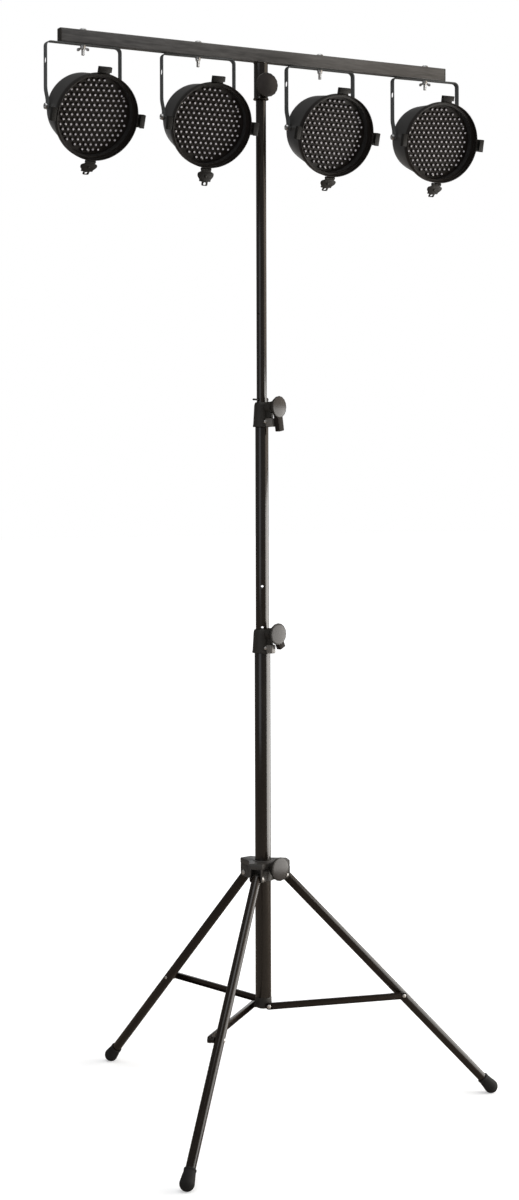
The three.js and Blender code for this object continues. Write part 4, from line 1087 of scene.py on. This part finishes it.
# %% Floor
FLOOR_SIZE = 40
floor_form = bmesh.new()
bmesh.ops.create_grid(floor_form, x_segments=8, y_segments=8, size=FLOOR_SIZE)
floor_mesh = bpy.data.meshes.new("floor")
floor_form.to_mesh(floor_mesh)
floor_form.free()
floor = bpy.data.objects.new("floor", floor_mesh)
bpy.context.scene.collection.objects.link(floor)
floor_paint = bpy.data.materials.new("white_painted_floor")
floor_paint.use_nodes = True
tree = floor_paint.node_tree
tree.nodes.clear()
path = add(tree, "ShaderNodeLightPath")
place = add(tree, "ShaderNodeTexCoord").outputs["Object"]
from_mast = add(tree, "ShaderNodeVectorMath", {"operation": "DISTANCE", 1: (mast.x, mast.y, 0)}, {0: place})
lift = add(
    tree,
    "ShaderNodeMapRange",
    {"From Min": 0.7, "From Max": 2.4, "To Min": 0.38, "To Max": 0.8},
    {"Value": from_mast.outputs["Value"]},
)
paint = add(
    tree,
    "ShaderNodeMix",
    {"data_type": "RGBA", 6: linear("#e4e5e6"), 7: linear("#8a8076")},
    {0: path.outputs["Is Glossy Ray"]},
)
matt = add(tree, "ShaderNodeBsdfDiffuse", {}, {"Color": paint.outputs[2]})
lifted = add(
    tree,
    "ShaderNodeMath",
    {"operation": "MULTIPLY"},
    {0: path.outputs["Is Camera Ray"], 1: lift.outputs[0]},
)
glow = add(tree, "ShaderNodeEmission", {}, {"Strength": lifted.outputs[0]})
both = add(tree, "ShaderNodeAddShader", {}, {0: matt.outputs[0], 1: glow.outputs[0]})
add(tree, "ShaderNodeOutputMaterial", {}, {"Surface": both.outputs[0]})
floor_mesh.materials.append(floor_paint)

# %% Sky
sky = bpy.data.worlds.new("white_room")
bpy.context.scene.world = sky
sky.use_nodes = True
tree = sky.node_tree
tree.nodes.clear()
path = add(tree, "ShaderNodeLightPath")
shown = add(
    tree,
    "ShaderNodeMath",
    {"operation": "MAXIMUM"},
    {0: path.outputs["Is Camera Ray"], 1: path.outputs["Is Transmission Ray"]},
)
level = add(tree, "ShaderNodeMapRange", {"To Min": 0.5, "To Max": 1.0}, {"Value": shown.outputs[0]})
gaze = add(tree, "ShaderNodeTexCoord").outputs["Generated"]
to_wall = add(tree, "ShaderNodeVectorMath", {"operation": "DOT_PRODUCT", 1: -away}, {0: gaze})
wall = add(
    tree,
    "ShaderNodeMapRange",
    {"From Min": 0.9, "From Max": 0.99, "To Min": 0.12, "To Max": 1.0},
    {"Value": to_wall.outputs["Value"]},
)
strength = add(
    tree,
    "ShaderNodeMix",
    {"data_type": "FLOAT"},
    {0: path.outputs["Is Glossy Ray"], 2: level.outputs[0], 3: wall.outputs[0]},
)
air = add(tree, "ShaderNodeBackground", {"Color": (1, 1, 1, 1)}, {"Strength": strength.outputs[0]})
add(tree, "ShaderNodeOutputWorld", {}, {"Surface": air.outputs[0]})


# %% Lights
def soft_light(name, turn, distance, height, aim, size, watts, tint):
    """A rectangle of light round the mast, facing it."""
    lamp = bpy.data.lights.new(name, "AREA")
    lamp.shape, lamp.size, lamp.size_y = "RECTANGLE", *size
    lamp.energy, lamp.color = watts, linear(tint)[:3]
    holder = bpy.data.objects.new(name, lamp)
    turn = math.radians(turn)
    spot = Vector((mast.x + distance * math.cos(turn), mast.y + distance * math.sin(turn), height))
    way = Vector((mast.x, mast.y, aim)) - spot
    holder.matrix_world = Matrix.Translation(spot) @ way.to_track_quat("-Z", "Y").to_matrix().to_4x4()
    bpy.context.scene.collection.objects.link(holder)
    return holder


soft_light("wide_box_on_the_right", 340, 2.4, 0.85, 0.85, (3.4, 1.7), 80, "#fffcf7")
soft_light("dim_box_above_it", 340, 2.4, 2.7, 2.4, (3.4, 1.8), 18, "#ffedd8")
soft_light("box_on_the_left", 205, 3.2, 1.8, 1.4, (2.0, 2.0), 7, "#f4f7ff")
soft_light("box_overhead", 250, 0.9, 4.6, 0.0, (2.4, 2.4), 40, "#ffffff")
bpy.context.scene.view_settings.view_transform = "Standard"
